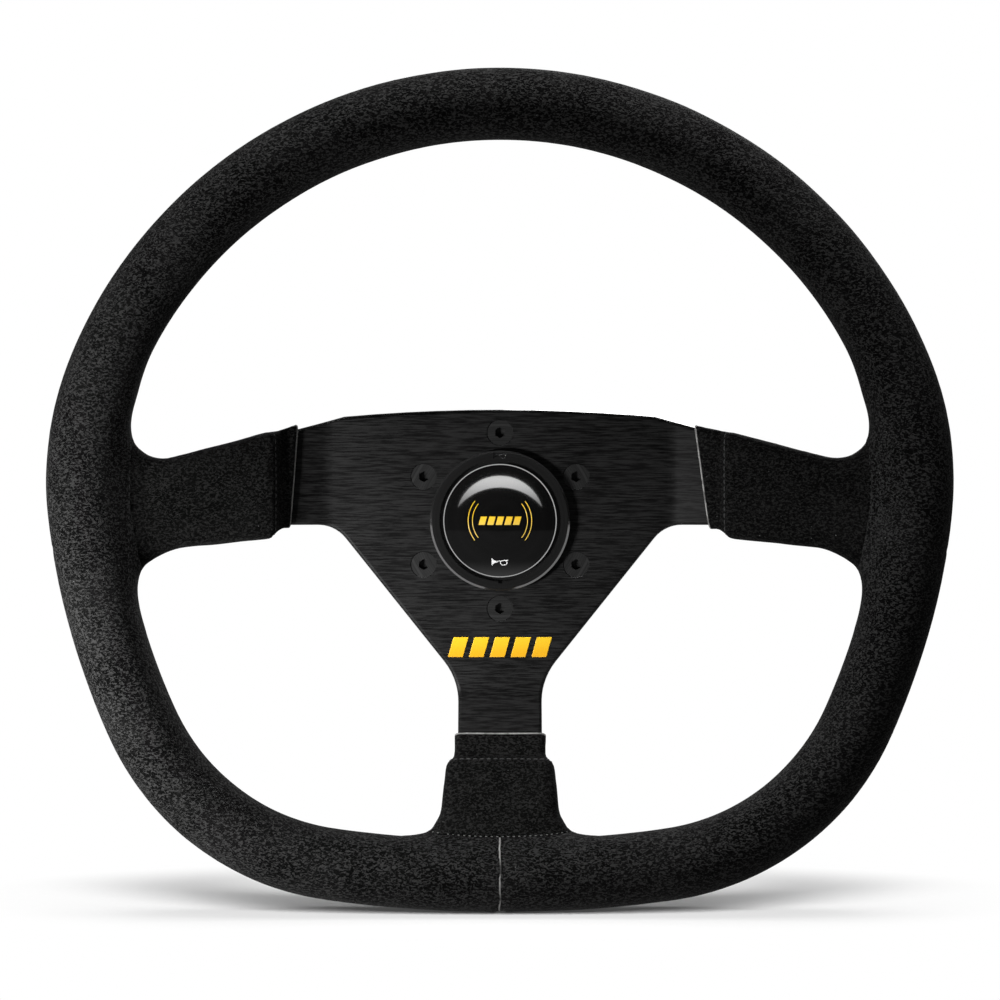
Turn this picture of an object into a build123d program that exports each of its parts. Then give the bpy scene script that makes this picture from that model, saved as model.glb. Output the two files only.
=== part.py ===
from build123d import *
from math import atan, cos, radians, sin, tan
import os

# Quick release steering wheel with its horn button and release coupler, in millimetres.
#
# The steering axis is the Y axis and +Z is up. The origin is the centre of the shaft socket's mouth.
# The driver sits on the -Y side, and a height is a distance from the mouth towards the driver.

# Clearances
press_gap = 0.03
slide_gap = 0.05
seat_gap = 0.2
sleeve_gap = 0.3
rub_gap = 0.6

# Shaft socket
pilot_radius = 14.0
pilot_length = 8.0
lead_in = 1.0
bush_wall = 1.5
bore_step = 0.6
barrel_wall = 3.7
spline_root_radius = 12.5
spline_tip_radius = 11.5
spline_teeth = 24
spline_length = 20.0
spline_groove_share = 0.8
spline_flank_angle = 60.0

# Locking pins and the collar that holds them in
lock_tail_radius = 2.8
lock_nose_radius = 2.3
lock_reach = 1.3
lock_travel = 1.4
lock_proud = 0.5
lock_chamfer = 0.6
lock_count = 4
lock_margin = 0.8
collar_travel = 8.0
guide_length = 5.6
spring_length = 12.9
spring_wire = 1.4
spring_turns = 2.5
spring_seat_thickness = 1.6
pocket_width = 6.2
collar_wall = 5.5
collar_lip = 3.5
collar_lip_length = 5.0
grip_flutes = 12
ring_thickness = 1.5
ring_depth = 1.1
ring_lip = 1.2
neck_room = 2.0

# Coupler flange and horn pocket
bolt_circle_radius = 35.0
bolt_count = 6
thread_radius = 2.5
flange_thickness = 8.0
flange_rim = 6.0
flange_scallop_radius = 9.6
end_wall = 5.0
pocket_wall = 4.1
wire_hole_radius = 4.0
pin_radius = 1.5
pin_count = 3
horn_pocket_depth = 13.0

# Spoke plate
plate_thickness = 4.0
plate_edge_radius = 1.5
plate_bend_radius = 14.0
plate_top = 44.2
plate_top_radius = 692.0
shoulder_across = 62.0
arm_upper_fall_ratio = 0.28
arm_lower_up = -1.7
arm_lower_across = 83.0
arm_lower_fall_ratio = 0.1
diagonal_across = 22.7
diagonal_up = -55.5
armpit_across = 65.7
armpit_radius = 14.0
neck_half_width = 16.6
neck_blend = 26.0
side_bend = 69.0
lower_bend = 68.0

# Rim
rim_dish = 30.0
rim_top = 161.2
rim_arc_radii = [165.1, 111.6, 275.7, 94.0]
rim_arc_angles = [68.5, 28.4, 17.4, 57.6]
grip_half_width = 13.8
grip_half_depth = 15.5
suede = 1.2
hoop_half_width = 6.0
hoop_half_depth = 2.5
padding_sides = 8

# Padded spoke covers
hem_across = 79.5
hem_down = 84.2
hem_band = 10.0
hem_thickness = 1.2
web_half_thickness = 6.5
web_bevel = 3.0
side_web_foot = 21.5
lower_web_foot = 10.0
side_web_upper = (90.5, 34.6)
side_web_upper_fall_ratio = 0.268
side_web_lower = (91.5, -5.6)
side_web_lower_fall_ratio = 0.115
side_web_blend = 12.0
lower_web_half_width = 19.5
lower_web_flare_ratio = 0.1
lower_web_blend = 9.0

# Horn button
button_radius = 22.1
button_recess = 1.9
bezel_width = 3.8
bezel_overhang = 2.6
bezel_height = 3.5
bezel_sleeve = 0.8
bezel_notch = 1.6
cup_wall = 1.3
cup_depth = 8.0
cup_flange = 1.0
clip_height = 0.5
clip_thickness = 1.2
clip_lip = 2.0
button_rise = 2.5
button_edge = 0.3
button_wall = 2.0
button_travel = 1.8
trim_thickness = 0.35
trim_depth = 1.4
contact_thickness = 0.8
horn_wire = 0.9
horn_turns = 3.0
horn_spring_radius = 6.5
horn_post_radius = 4.5
blade_width = 6.3
blade_length = 3.8

# Screws
screw_head_radius = 5.3
screw_head_gap = 0.25
screw_sink = 0.25
key_width = 3.8
key_depth = 2.0

# Heights from the socket's mouth to the driver, worked out one on top of the other
lock_height = pilot_length + lock_margin + lock_tail_radius
insert_foot = lock_height + lock_tail_radius + lock_margin
insert_top = insert_foot + spline_length
cam_slope = lock_travel / collar_travel
lock_face_radius = lock_tail_radius - lock_chamfer
collar_stop = lock_height + lock_face_radius - collar_travel - seat_gap
ring_height = collar_stop - seat_gap - ring_thickness

# Radii of the socket's barrel and of the collar around it
insert_radius = pilot_radius + bore_step
bush_radius = pilot_radius + bush_wall
barrel_radius = insert_radius + barrel_wall
guide_radius = barrel_radius + slide_gap
lock_nose = pilot_radius - lock_reach
lock_tail = barrel_radius + lock_proud
cam_radius = (lock_tail ** 2 + lock_face_radius ** 2) ** 0.5 + slide_gap
cam_height = lock_height + lock_face_radius
cam_top = cam_height + (cam_radius - guide_radius) / cam_slope
cam_foot_radius = cam_radius + cam_slope * (cam_height - collar_stop)
collar_pocket_radius = barrel_radius + pocket_width
shoulder_radius = collar_pocket_radius - rub_gap
collar_radius = collar_pocket_radius + collar_wall
ring_radius = cam_foot_radius + ring_lip
ring_pocket_radius = ring_radius + seat_gap + slide_gap

collar_shoulder = cam_top + guide_length
shoulder_height = collar_shoulder + spring_length + spring_seat_thickness
collar_end = shoulder_height - 2 * spring_seat_thickness + rub_gap
neck_height = collar_end + collar_travel + neck_room
pocket_floor = max(neck_height + pocket_wall - rub_gap, insert_top + end_wall)
plate_back = pocket_floor + horn_pocket_depth
plate_front = plate_back + plate_thickness
plate_middle = plate_back + plate_thickness / 2
rim_height = plate_front + rim_dish
flange_radius = bolt_circle_radius + flange_rim
bezel_mouth_radius = button_radius + button_recess
bezel_radius = bezel_mouth_radius + bezel_width
horn_hole_radius = bezel_radius - bezel_overhang
cup_radius = horn_hole_radius - sleeve_gap
pocket_radius = horn_hole_radius + seat_gap
clip_radius = cup_radius + clip_lip
pocket_outer_radius = pocket_radius + pocket_wall
lock_length = lock_tail - lock_nose
padding_half_width = grip_half_width - suede - seat_gap
padding_half_depth = grip_half_depth - suede - seat_gap

upright = (Align.CENTER, Align.CENTER, Align.MIN)
downward = (Align.CENTER, Align.CENTER, Align.MAX)

# Working planes: (radius, height) or (across, height) and, for the lower spoke, (down, height)
turning = Plane(origin=(0, 0, 0), x_dir=(1, 0, 0), z_dir=(0, 0, -1))
lengthways = Plane(origin=(0, 0, 0), x_dir=(0, 0, -1), z_dir=(-1, 0, 0))


def facing(height):
    """Plane across the steering axis at a height, with +X across and +Z up, that faces the driver."""
    return Plane.XZ.offset(height)


def outward(turn):
    """Unit vector across the steering axis, turned clockwise from straight up by an angle in degrees."""
    return Vector(sin(radians(turn)), 0, cos(radians(turn)))


def radial_plane(turn, height, radius):
    """Plane whose normal points away from the steering axis, at a height and a radius."""
    direction = outward(turn)
    return Plane(origin=direction * radius + Vector(0, -height, 0), z_dir=direction)


def pin_plane(index):
    """Plane of a cross pin's inner end, halfway along the spline insert."""
    turn = 180 / lock_count + index * 360 / pin_count
    return radial_plane(turn, (insert_foot + insert_top) / 2, (spline_root_radius + insert_radius) / 2)


def rim_stations():
    """Centre, radius, start and turn of each arc of the rim's right half, from its top to its bottom.

    The last radius is the one that brings the half back to the middle.
    """
    across = 0
    turn = 0
    for radius, angle in zip(rim_arc_radii, rim_arc_angles):
        across += radius * (sin(radians(turn + angle)) - sin(radians(turn)))
        turn += angle
    radii = rim_arc_radii + [across / sin(radians(turn))]
    angles = rim_arc_angles + [180 - turn]
    stations = []
    point = Vector(0, -rim_height, rim_top)
    start = 0
    for radius, angle in zip(radii, angles):
        centre = point - outward(start) * radius
        stations.append((centre, radius, start, angle))
        start += angle
        point = centre + outward(start) * radius
    return stations


rim_bottom = rim_stations()[-1][0].Z - rim_stations()[-1][1]
rim_reach = max(centre.X + radius * sin(radians(min(max(start, 90), start + angle)))
                for centre, radius, start, angle in rim_stations())


def rim_ring(section):
    """Solid ring with a section, as (outward, to the driver), along the rim's middle line."""
    with BuildPart() as ring:
        for centre, radius, start, angle in rim_stations():
            direction = outward(start)
            station = Plane(centre + direction * radius, x_dir=direction, z_dir=outward(start + 90))
            with BuildSketch(station):
                add(section)
            revolve(axis=Axis(centre, (0, 1, 0)), revolution_arc=angle)
        mirror(about=Plane.YZ)
    return ring.part


def grip_section(grow):
    """Oval section of the grip, grown all round."""
    with BuildSketch() as section:
        Ellipse(grip_half_width + grow, grip_half_depth + grow)
    return section.sketch


def padding_section(grow):
    """Many-sided section of the foam inside the cover, grown all round."""
    half_width = padding_half_width + grow
    half_depth = padding_half_depth + grow
    turns = [radians(index * 360 / padding_sides) for index in range(padding_sides)]
    with BuildSketch() as section:
        with BuildLine():
            Polyline(*[(half_width * cos(turn), half_depth * sin(turn)) for turn in turns], close=True)
        make_face()
    return section.sketch


def hoop_section(grow):
    """Flat section of the hoop, grown all round."""
    with BuildSketch() as section:
        Rectangle(2 * (hoop_half_width + grow), 2 * (hoop_half_depth + grow))
    return section.sketch


def rim_disc(inset):
    """Face, as (across, up), inside the rim's middle line, drawn in by an inset."""
    with BuildSketch() as disc:
        with BuildLine():
            for centre, radius, start, angle in rim_stations():
                CenterArc((centre.X, centre.Z), radius - inset, 90 - start, -angle)
            Line((0, rim_bottom + inset), (0, rim_top - inset))
        make_face()
        mirror(about=Plane.YZ)
    return disc.sketch


web_inset = padding_half_width - press_gap
side_slope = atan((rim_height - plate_middle) / (rim_reach - side_bend))
lower_slope = atan((rim_height - plate_middle) / (-rim_bottom - lower_bend))


def arm_line(bend, slope, reach, lift):
    """Corner and tip, as (across, height), of a line beside an arm's middle, lifted to the driver."""
    corner = (bend - lift * tan(slope / 2), plate_middle + lift)
    tip = (reach, plate_middle + lift / cos(slope) + (reach - bend) * tan(slope))
    return corner, tip


def arm_slab(plane, bend, slope, start, reach, lift):
    """Face of a sheet's side view: flat from its start to the bend, then rising to its reach."""
    upper_corner, upper_tip = arm_line(bend, slope, reach, lift)
    lower_corner, lower_tip = arm_line(bend, slope, reach, -lift)
    with BuildSketch(plane) as slab:
        with BuildLine():
            inner = plate_bend_radius - lift
            outer = plate_bend_radius + lift
            FilletPolyline((start, plate_middle + lift), upper_corner, upper_tip, radius=inner)
            Line(upper_tip, lower_tip)
            FilletPolyline(lower_tip, lower_corner, (start, plate_middle - lift), radius=outer)
            Line((start, plate_middle - lift), (start, plate_middle + lift))
        make_face()
    return slab.sketch


def sloped_slab(plane, bend, slope, start, reach, lift):
    """Face of a straight web's side view, along an arm beyond its bend."""
    with BuildSketch(plane) as slab:
        with BuildLine():
            upper_start = arm_line(bend, slope, start, lift)[1]
            upper_tip = arm_line(bend, slope, reach, lift)[1]
            lower_tip = arm_line(bend, slope, reach, -lift)[1]
            lower_start = arm_line(bend, slope, start, -lift)[1]
            Polyline(upper_start, upper_tip, lower_tip, lower_start, close=True)
        make_face()
    return slab.sketch


def plate_outline(grow):
    """Face, as (across, up), of the spoke plate with its three arms running on past the rim."""
    reach = rim_reach + grip_half_width
    drop = -rim_bottom + grip_half_width
    shoulder_up = plate_top - shoulder_across ** 2 / (2 * plate_top_radius)
    arm_upper_tip = shoulder_up - arm_upper_fall_ratio * (reach - shoulder_across)
    arm_lower_tip = arm_lower_up - arm_lower_fall_ratio * (reach - arm_lower_across)
    diagonal = (arm_lower_up - diagonal_up) / (armpit_across - diagonal_across)
    neck_up = diagonal_up - diagonal * (diagonal_across - neck_half_width)
    with BuildSketch() as outline:
        with BuildLine():
            ThreePointArc(
                (0, plate_top),
                (shoulder_across / 2, plate_top - shoulder_across ** 2 / (8 * plate_top_radius)),
                (shoulder_across, shoulder_up),
            )
            Line((shoulder_across, shoulder_up), (reach, arm_upper_tip))
            Line((reach, arm_upper_tip), (reach, arm_lower_tip))
            FilletPolyline(
                (reach, arm_lower_tip),
                (arm_lower_across, arm_lower_up),
                (armpit_across, arm_lower_up),
                (neck_half_width, neck_up),
                (neck_half_width, -drop),
                radius=[armpit_radius / 2, armpit_radius, neck_blend],
            )
            Line((neck_half_width, -drop), (0, -drop))
            Line((0, -drop), (0, plate_top))
        make_face()
        mirror(about=Plane.YZ)
        if grow:
            offset(amount=grow)
    return outline.sketch


def bent_plate(grow):
    """Spoke plate without its holes, grown all round, with arms that run on past the rim."""
    lift = plate_thickness / 2 + grow
    reach = rim_reach + grip_half_width
    drop = -rim_bottom + grip_half_width
    side_view = arm_slab(turning, side_bend, side_slope, 0, reach, lift)
    lower_view = arm_slab(lengthways, lower_bend, lower_slope, 0, drop, lift)
    with BuildPart() as plate:
        extrude(side_view, amount=-diagonal_up, dir=(0, 0, -1))
        extrude(side_view, amount=plate_top + lift, dir=(0, 0, 1))
        mirror(about=Plane.YZ)
        extrude(lower_view, amount=2 * neck_half_width, both=True)
        with BuildSketch(Plane.XZ):
            add(plate_outline(grow))
        extrude(amount=2 * rim_height, mode=Mode.INTERSECT)
    return plate.part


def side_web(grow):
    """Right-hand padding between the cover's step and the rim, grown all round."""
    start = side_web_upper[0] - grow
    reach = rim_reach
    upper = side_web_upper[1] + grow
    lower = side_web_lower[1] - grow
    upper_tip = upper - side_web_upper_fall_ratio * (reach - start)
    lower_tip = lower - side_web_lower_fall_ratio * (reach - start)
    half_thickness = web_half_thickness + grow
    slack = grip_half_width / 2
    with BuildPart() as web:
        with BuildSketch(Plane.XZ):
            add(rim_disc(-seat_gap))
            add(rim_disc(web_inset + grow), mode=Mode.SUBTRACT)
            with BuildLine():
                Polyline((start, upper), (reach, upper_tip), (reach, lower_tip), (start, lower), close=True)
            make_face()
            corners = vertices().filter_by_position(Axis.X, start + slack, reach - slack)
            corners = corners.filter_by_position(Axis.Y, lower_tip - slack, upper_tip + slack)
            fillet(corners, side_web_blend - grow)
            with Locations((reach, (upper_tip + lower_tip) / 2)):
                Rectangle(2 * (reach - start), upper_tip - lower_tip + 2 * side_web_foot, mode=Mode.INTERSECT)
        extrude(amount=2 * rim_height)
        slab = sloped_slab(turning, side_bend, side_slope, start, reach + seat_gap, half_thickness)
        extrude(slab, amount=4 * upper, both=True, mode=Mode.INTERSECT)
        flats = web.faces().filter_by(Axis((0, 0, 0), (sin(side_slope), cos(side_slope), 0)))
        chamfer(flats.edges().filter_by_position(Axis.X, start + slack, reach - grip_half_width), web_bevel)
    return web.part


def lower_web(grow):
    """Padding between the lower cover's step and the rim, grown all round."""
    start = hem_down + hem_band - grow
    reach = -rim_bottom
    half_width = lower_web_half_width + grow
    half_tip = half_width + lower_web_flare_ratio * (reach - start)
    half_thickness = web_half_thickness + grow
    slack = grip_half_width / 2
    with BuildPart() as web:
        with BuildSketch(Plane.XZ):
            add(rim_disc(-seat_gap))
            add(rim_disc(web_inset + grow), mode=Mode.SUBTRACT)
            with BuildLine():
                Polyline(
                    (-half_width, -start), (half_width, -start), (half_tip, -reach), (-half_tip, -reach),
                    close=True,
                )
            make_face()
            corners = vertices().filter_by_position(Axis.X, -half_tip, half_tip)
            corners = corners.filter_by_position(Axis.Y, slack - reach, -start - slack)
            fillet(corners, lower_web_blend - grow)
            with Locations((0, -reach)):
                Rectangle(2 * (half_tip + lower_web_foot), 2 * (reach - start), mode=Mode.INTERSECT)
        extrude(amount=2 * rim_height)
        slab = sloped_slab(lengthways, lower_bend, lower_slope, start, reach + seat_gap, half_thickness)
        extrude(slab, amount=4 * half_width, both=True, mode=Mode.INTERSECT)
        flats = web.faces().filter_by(Axis((0, 0, 0), (0, cos(lower_slope), -sin(lower_slope))))
        chamfer(flats.edges().filter_by_position(Axis.Z, grip_half_width - reach, -start - slack), web_bevel)
    return web.part


os.makedirs("parts", exist_ok=True)

# Shapes that several parts are cut with
hoop_space = rim_ring(hoop_section(sleeve_gap))
padding_space = rim_ring(padding_section(seat_gap))
grip_space = rim_ring(grip_section(seat_gap))
arm_space = bent_plate(sleeve_gap)

# Spoke plate: a pressed aluminium sheet whose three arms rise to the rim
with BuildPart() as spoke_plate:
    add(bent_plate(0))
    with BuildSketch(Plane.XZ):
        add(rim_disc(hoop_half_width + sleeve_gap))
    extrude(amount=2 * rim_height, mode=Mode.INTERSECT)
    front_face = spoke_plate.faces().filter_by(Plane.XZ).sort_by(Axis.Y)[0]
    outline = front_face.edges().filter_by_position(Axis.X, -side_bend, side_bend, (False, False))
    fillet(outline, plate_edge_radius)
    with Locations(facing(plate_front)):
        Hole(horn_hole_radius)
        with PolarLocations(bolt_circle_radius, bolt_count, start_angle=90):
            CounterSinkHole(thread_radius + seat_gap, screw_head_radius)
spoke_plate.part.label = "spoke_plate"
export_step(spoke_plate.part, "parts/spoke_plate.step")

# Rim: a flat hoop, moulded foam, the padding on the three arms and a sewn suede cover
with BuildPart() as rim_hoop:
    add(rim_ring(hoop_section(0)))
rim_hoop.part.label = "rim_hoop"
export_step(rim_hoop.part, "parts/rim_hoop.step")

with BuildPart() as rim_foam:
    add(rim_ring(padding_section(0)))
    add(hoop_space, mode=Mode.SUBTRACT)
    add(arm_space, mode=Mode.SUBTRACT)
rim_foam.part.label = "rim_foam"
export_step(rim_foam.part, "parts/rim_foam.step")

with BuildPart() as right_arm_padding:
    add(side_web(0))
    add(padding_space, mode=Mode.SUBTRACT)
    add(arm_space, mode=Mode.SUBTRACT)
right_arm_padding.part.label = "right_arm_padding"
export_step(right_arm_padding.part, "parts/right_arm_padding.step")

with BuildPart() as left_arm_padding:
    add(mirror(right_arm_padding.part, about=Plane.YZ))
left_arm_padding.part.label = "left_arm_padding"
export_step(left_arm_padding.part, "parts/left_arm_padding.step")

with BuildPart() as lower_arm_padding:
    add(lower_web(0))
    add(padding_space, mode=Mode.SUBTRACT)
    add(arm_space, mode=Mode.SUBTRACT)
lower_arm_padding.part.label = "lower_arm_padding"
export_step(lower_arm_padding.part, "parts/lower_arm_padding.step")

web_space = side_web(seat_gap)
with BuildPart() as rim_cover:
    add(rim_ring(grip_section(0)))
    add(padding_space, mode=Mode.SUBTRACT)
    add(web_space, mode=Mode.SUBTRACT)
    add(mirror(web_space, about=Plane.YZ), mode=Mode.SUBTRACT)
    add(lower_web(seat_gap), mode=Mode.SUBTRACT)
rim_cover.part.label = "rim_cover"
export_step(rim_cover.part, "parts/rim_cover.step")

# Spoke covers: a thin hem on the bare arm, then a padded sleeve that runs up to the rim
cover_grow = seat_gap + suede
hem_shape = bent_plate(sleeve_gap + hem_thickness)
with BuildPart() as right_spoke_cover:
    with BuildSketch(Plane.XZ):
        with Locations((hem_across + hem_band, 0)):
            Rectangle(2 * hem_band, 4 * plate_top)
    extrude(amount=2 * rim_height)
    add(hem_shape, mode=Mode.INTERSECT)
    add(side_web(cover_grow))
    add(web_space, mode=Mode.SUBTRACT)
    add(grip_space, mode=Mode.SUBTRACT)
    add(arm_space, mode=Mode.SUBTRACT)
right_spoke_cover.part.label = "right_spoke_cover"
export_step(right_spoke_cover.part, "parts/right_spoke_cover.step")

with BuildPart() as left_spoke_cover:
    add(mirror(right_spoke_cover.part, about=Plane.YZ))
left_spoke_cover.part.label = "left_spoke_cover"
export_step(left_spoke_cover.part, "parts/left_spoke_cover.step")

with BuildPart() as lower_spoke_cover:
    with BuildSketch(Plane.XZ):
        with Locations((0, -hem_down - hem_band)):
            Rectangle(4 * neck_half_width, 2 * hem_band)
    extrude(amount=2 * rim_height)
    add(hem_shape, mode=Mode.INTERSECT)
    add(lower_web(cover_grow))
    add(lower_web(seat_gap), mode=Mode.SUBTRACT)
    add(grip_space, mode=Mode.SUBTRACT)
    add(arm_space, mode=Mode.SUBTRACT)
lower_spoke_cover.part.label = "lower_spoke_cover"
export_step(lower_spoke_cover.part, "parts/lower_spoke_cover.step")

# Screws: six countersunk socket screws that hold the plate to the coupler's flange
screw_top = plate_front - screw_sink
screw_top_radius = screw_head_radius - screw_head_gap
with BuildPart() as wheel_screws:
    with Locations(facing(screw_top)):
        with PolarLocations(bolt_circle_radius, bolt_count, start_angle=90):
            Cylinder(
                thread_radius - press_gap,
                plate_thickness + flange_thickness - screw_sink,
                align=downward,
            )
            Cone(
                thread_radius - press_gap,
                screw_top_radius - press_gap,
                screw_top_radius - thread_radius,
                align=downward,
            )
    with BuildSketch(facing(screw_top)):
        with PolarLocations(bolt_circle_radius, bolt_count, start_angle=90):
            RegularPolygon(key_width / 2, 6, major_radius=False)
    extrude(amount=-key_depth, mode=Mode.SUBTRACT)
wheel_screws.part.label = "wheel_screws"
export_step(wheel_screws.part, "parts/wheel_screws.step")

# Horn button: a cup through the plate's middle, held in front by its flange and behind by a clip
cup_back = plate_back - cup_depth
cup_floor = cup_back + cup_wall
cup_bore = cup_radius - cup_wall
clip_top = plate_back - clip_height
clip_foot = clip_top - clip_thickness
flange_top = plate_front + cup_flange
bezel_face = plate_front + bezel_height
flange_outer = bezel_radius - bezel_sleeve
sleeve_outer = cup_bore - slide_gap
sleeve_inner = sleeve_outer - bezel_sleeve
sleeve_foot = plate_front - plate_thickness / 2
skirt_top = sleeve_foot - seat_gap
skirt_foot = skirt_top - contact_thickness
button_bore = button_radius - button_wall
button_rim_height = bezel_face - button_edge
button_top = bezel_face + button_rise - button_edge
roof_height = bezel_face - button_wall
contact_top = skirt_foot + contact_thickness / 2
fixed_contact_top = contact_top - contact_thickness - button_travel - slide_gap
contact_radius = (horn_spring_radius + cup_bore) / 2

with BuildPart() as horn_housing:
    with BuildSketch(turning):
        with BuildLine():
            Polyline(
                (0, cup_back),
                (cup_radius, cup_back),
                (cup_radius, clip_foot - press_gap),
                (cup_radius - cup_wall / 2, clip_foot - press_gap),
                (cup_radius - cup_wall / 2, clip_top + press_gap),
                (cup_radius, clip_top + press_gap),
                (cup_radius, plate_front),
                (flange_outer, plate_front),
                (flange_outer, flange_top),
                (cup_bore, flange_top),
                (cup_bore, cup_floor),
                (0, cup_floor),
                close=True,
            )
        make_face()
    revolve(axis=Axis.Y)
    with BuildSketch(facing(cup_back)):
        with Locations((contact_radius, 0), (-horn_spring_radius, 0)):
            Rectangle(contact_thickness + 2 * press_gap, blade_width + 2 * press_gap)
    extrude(amount=cup_wall, mode=Mode.SUBTRACT)
horn_housing.part.label = "horn_housing"
export_step(horn_housing.part, "parts/horn_housing.step")

with BuildPart() as horn_clip:
    with BuildSketch(facing(clip_foot)):
        Circle(clip_radius)
        Circle(cup_radius - cup_wall / 2 + slide_gap, mode=Mode.SUBTRACT)
        with Locations((0, -cup_radius)):
            Rectangle(cup_radius / 2, cup_radius, mode=Mode.SUBTRACT)
    extrude(amount=clip_thickness)
horn_clip.part.label = "horn_clip"
export_step(horn_clip.part, "parts/horn_clip.step")

with BuildPart() as horn_bezel:
    with BuildSketch(turning):
        with BuildLine():
            Polyline(
                (flange_outer + press_gap, plate_front),
                (bezel_radius, plate_front),
                (bezel_radius, bezel_face),
                (bezel_mouth_radius, bezel_face),
                (bezel_mouth_radius, flange_top + bezel_sleeve),
                (sleeve_inner, flange_top + bezel_sleeve),
                (sleeve_inner, sleeve_foot),
                (sleeve_outer, sleeve_foot),
                (sleeve_outer, flange_top + press_gap),
                (flange_outer + press_gap, flange_top + press_gap),
                close=True,
            )
        make_face()
    revolve(axis=Axis.Y)
    outer_edge = horn_bezel.edges().group_by(Axis.Y)[0].sort_by(SortBy.RADIUS)[-1]
    chamfer(outer_edge, bezel_sleeve)
    with BuildSketch(facing(bezel_face)):
        with Locations((0, -bezel_mouth_radius)):
            Rectangle(bezel_notch, bezel_notch)
    extrude(amount=-bezel_notch, mode=Mode.SUBTRACT)
horn_bezel.part.label = "horn_bezel"
export_step(horn_bezel.part, "parts/horn_bezel.step")

with BuildPart() as horn_button:
    with BuildSketch(turning):
        with BuildLine():
            ThreePointArc(
                (0, button_top),
                (button_radius / 2, button_top - (button_top - button_rim_height) / 4),
                (button_radius, button_rim_height),
            )
            Polyline(
                (button_radius, button_rim_height),
                (button_radius, skirt_top),
                (cup_bore - seat_gap, skirt_top),
                (cup_bore - seat_gap, skirt_foot),
                (button_bore, skirt_foot),
                (button_bore, contact_top),
                (button_bore - bezel_sleeve, contact_top),
                (button_bore - bezel_sleeve, roof_height),
                (horn_post_radius, roof_height),
                (horn_post_radius, contact_top),
                (0, contact_top),
                (0, button_top),
            )
        make_face()
    revolve(axis=Axis.Y)
horn_button.part.label = "horn_button"
export_step(horn_button.part, "parts/horn_button.step")

with BuildPart() as button_trim_ring:
    with BuildSketch(facing(button_rim_height - trim_depth)):
        Circle(button_radius + press_gap + trim_thickness)
        Circle(button_radius + press_gap, mode=Mode.SUBTRACT)
    extrude(amount=trim_depth)
button_trim_ring.part.label = "button_trim_ring"
export_step(button_trim_ring.part, "parts/button_trim_ring.step")

with BuildPart() as horn_moving_contact:
    with BuildSketch(facing(contact_top - contact_thickness)):
        Circle(button_bore - press_gap)
        Circle(horn_spring_radius + 2 * horn_wire, mode=Mode.SUBTRACT)
    extrude(amount=contact_thickness)
horn_moving_contact.part.label = "horn_moving_contact"
export_step(horn_moving_contact.part, "parts/horn_moving_contact.step")

with BuildPart() as horn_fixed_contact:
    with BuildSketch(facing(cup_floor)):
        Circle(contact_radius + 2 * contact_thickness)
        Circle(contact_radius - 2 * contact_thickness, mode=Mode.SUBTRACT)
    extrude(amount=contact_thickness)
    with BuildSketch(facing(cup_floor)):
        Circle(contact_radius + contact_thickness / 2)
        Circle(contact_radius - contact_thickness / 2, mode=Mode.SUBTRACT)
    extrude(amount=fixed_contact_top - cup_floor)
horn_fixed_contact.part.label = "horn_fixed_contact"
export_step(horn_fixed_contact.part, "parts/horn_fixed_contact.step")

with BuildPart() as horn_terminals:
    with BuildSketch(facing(cup_back - blade_length)):
        with Locations((contact_radius, 0), (-horn_spring_radius, 0)):
            Rectangle(contact_thickness, blade_width)
    extrude(amount=blade_length + cup_wall)
horn_terminals.part.label = "horn_terminals"
export_step(horn_terminals.part, "parts/horn_terminals.step")

horn_coil_foot = cup_floor + seat_gap + horn_wire / 2
horn_coil_top = roof_height - seat_gap - horn_wire / 2
with BuildPart() as horn_spring:
    with BuildLine():
        horn_coil = Helix(
            (horn_coil_top - horn_coil_foot) / horn_turns,
            horn_coil_top - horn_coil_foot,
            horn_spring_radius,
            center=(0, -horn_coil_foot, 0),
            direction=(0, -1, 0),
        )
    with BuildSketch(horn_coil ^ 0):
        Rectangle(horn_wire, horn_wire)
    sweep(is_frenet=True)
horn_spring.part.label = "horn_spring"
export_step(horn_spring.part, "parts/horn_spring.step")

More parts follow.
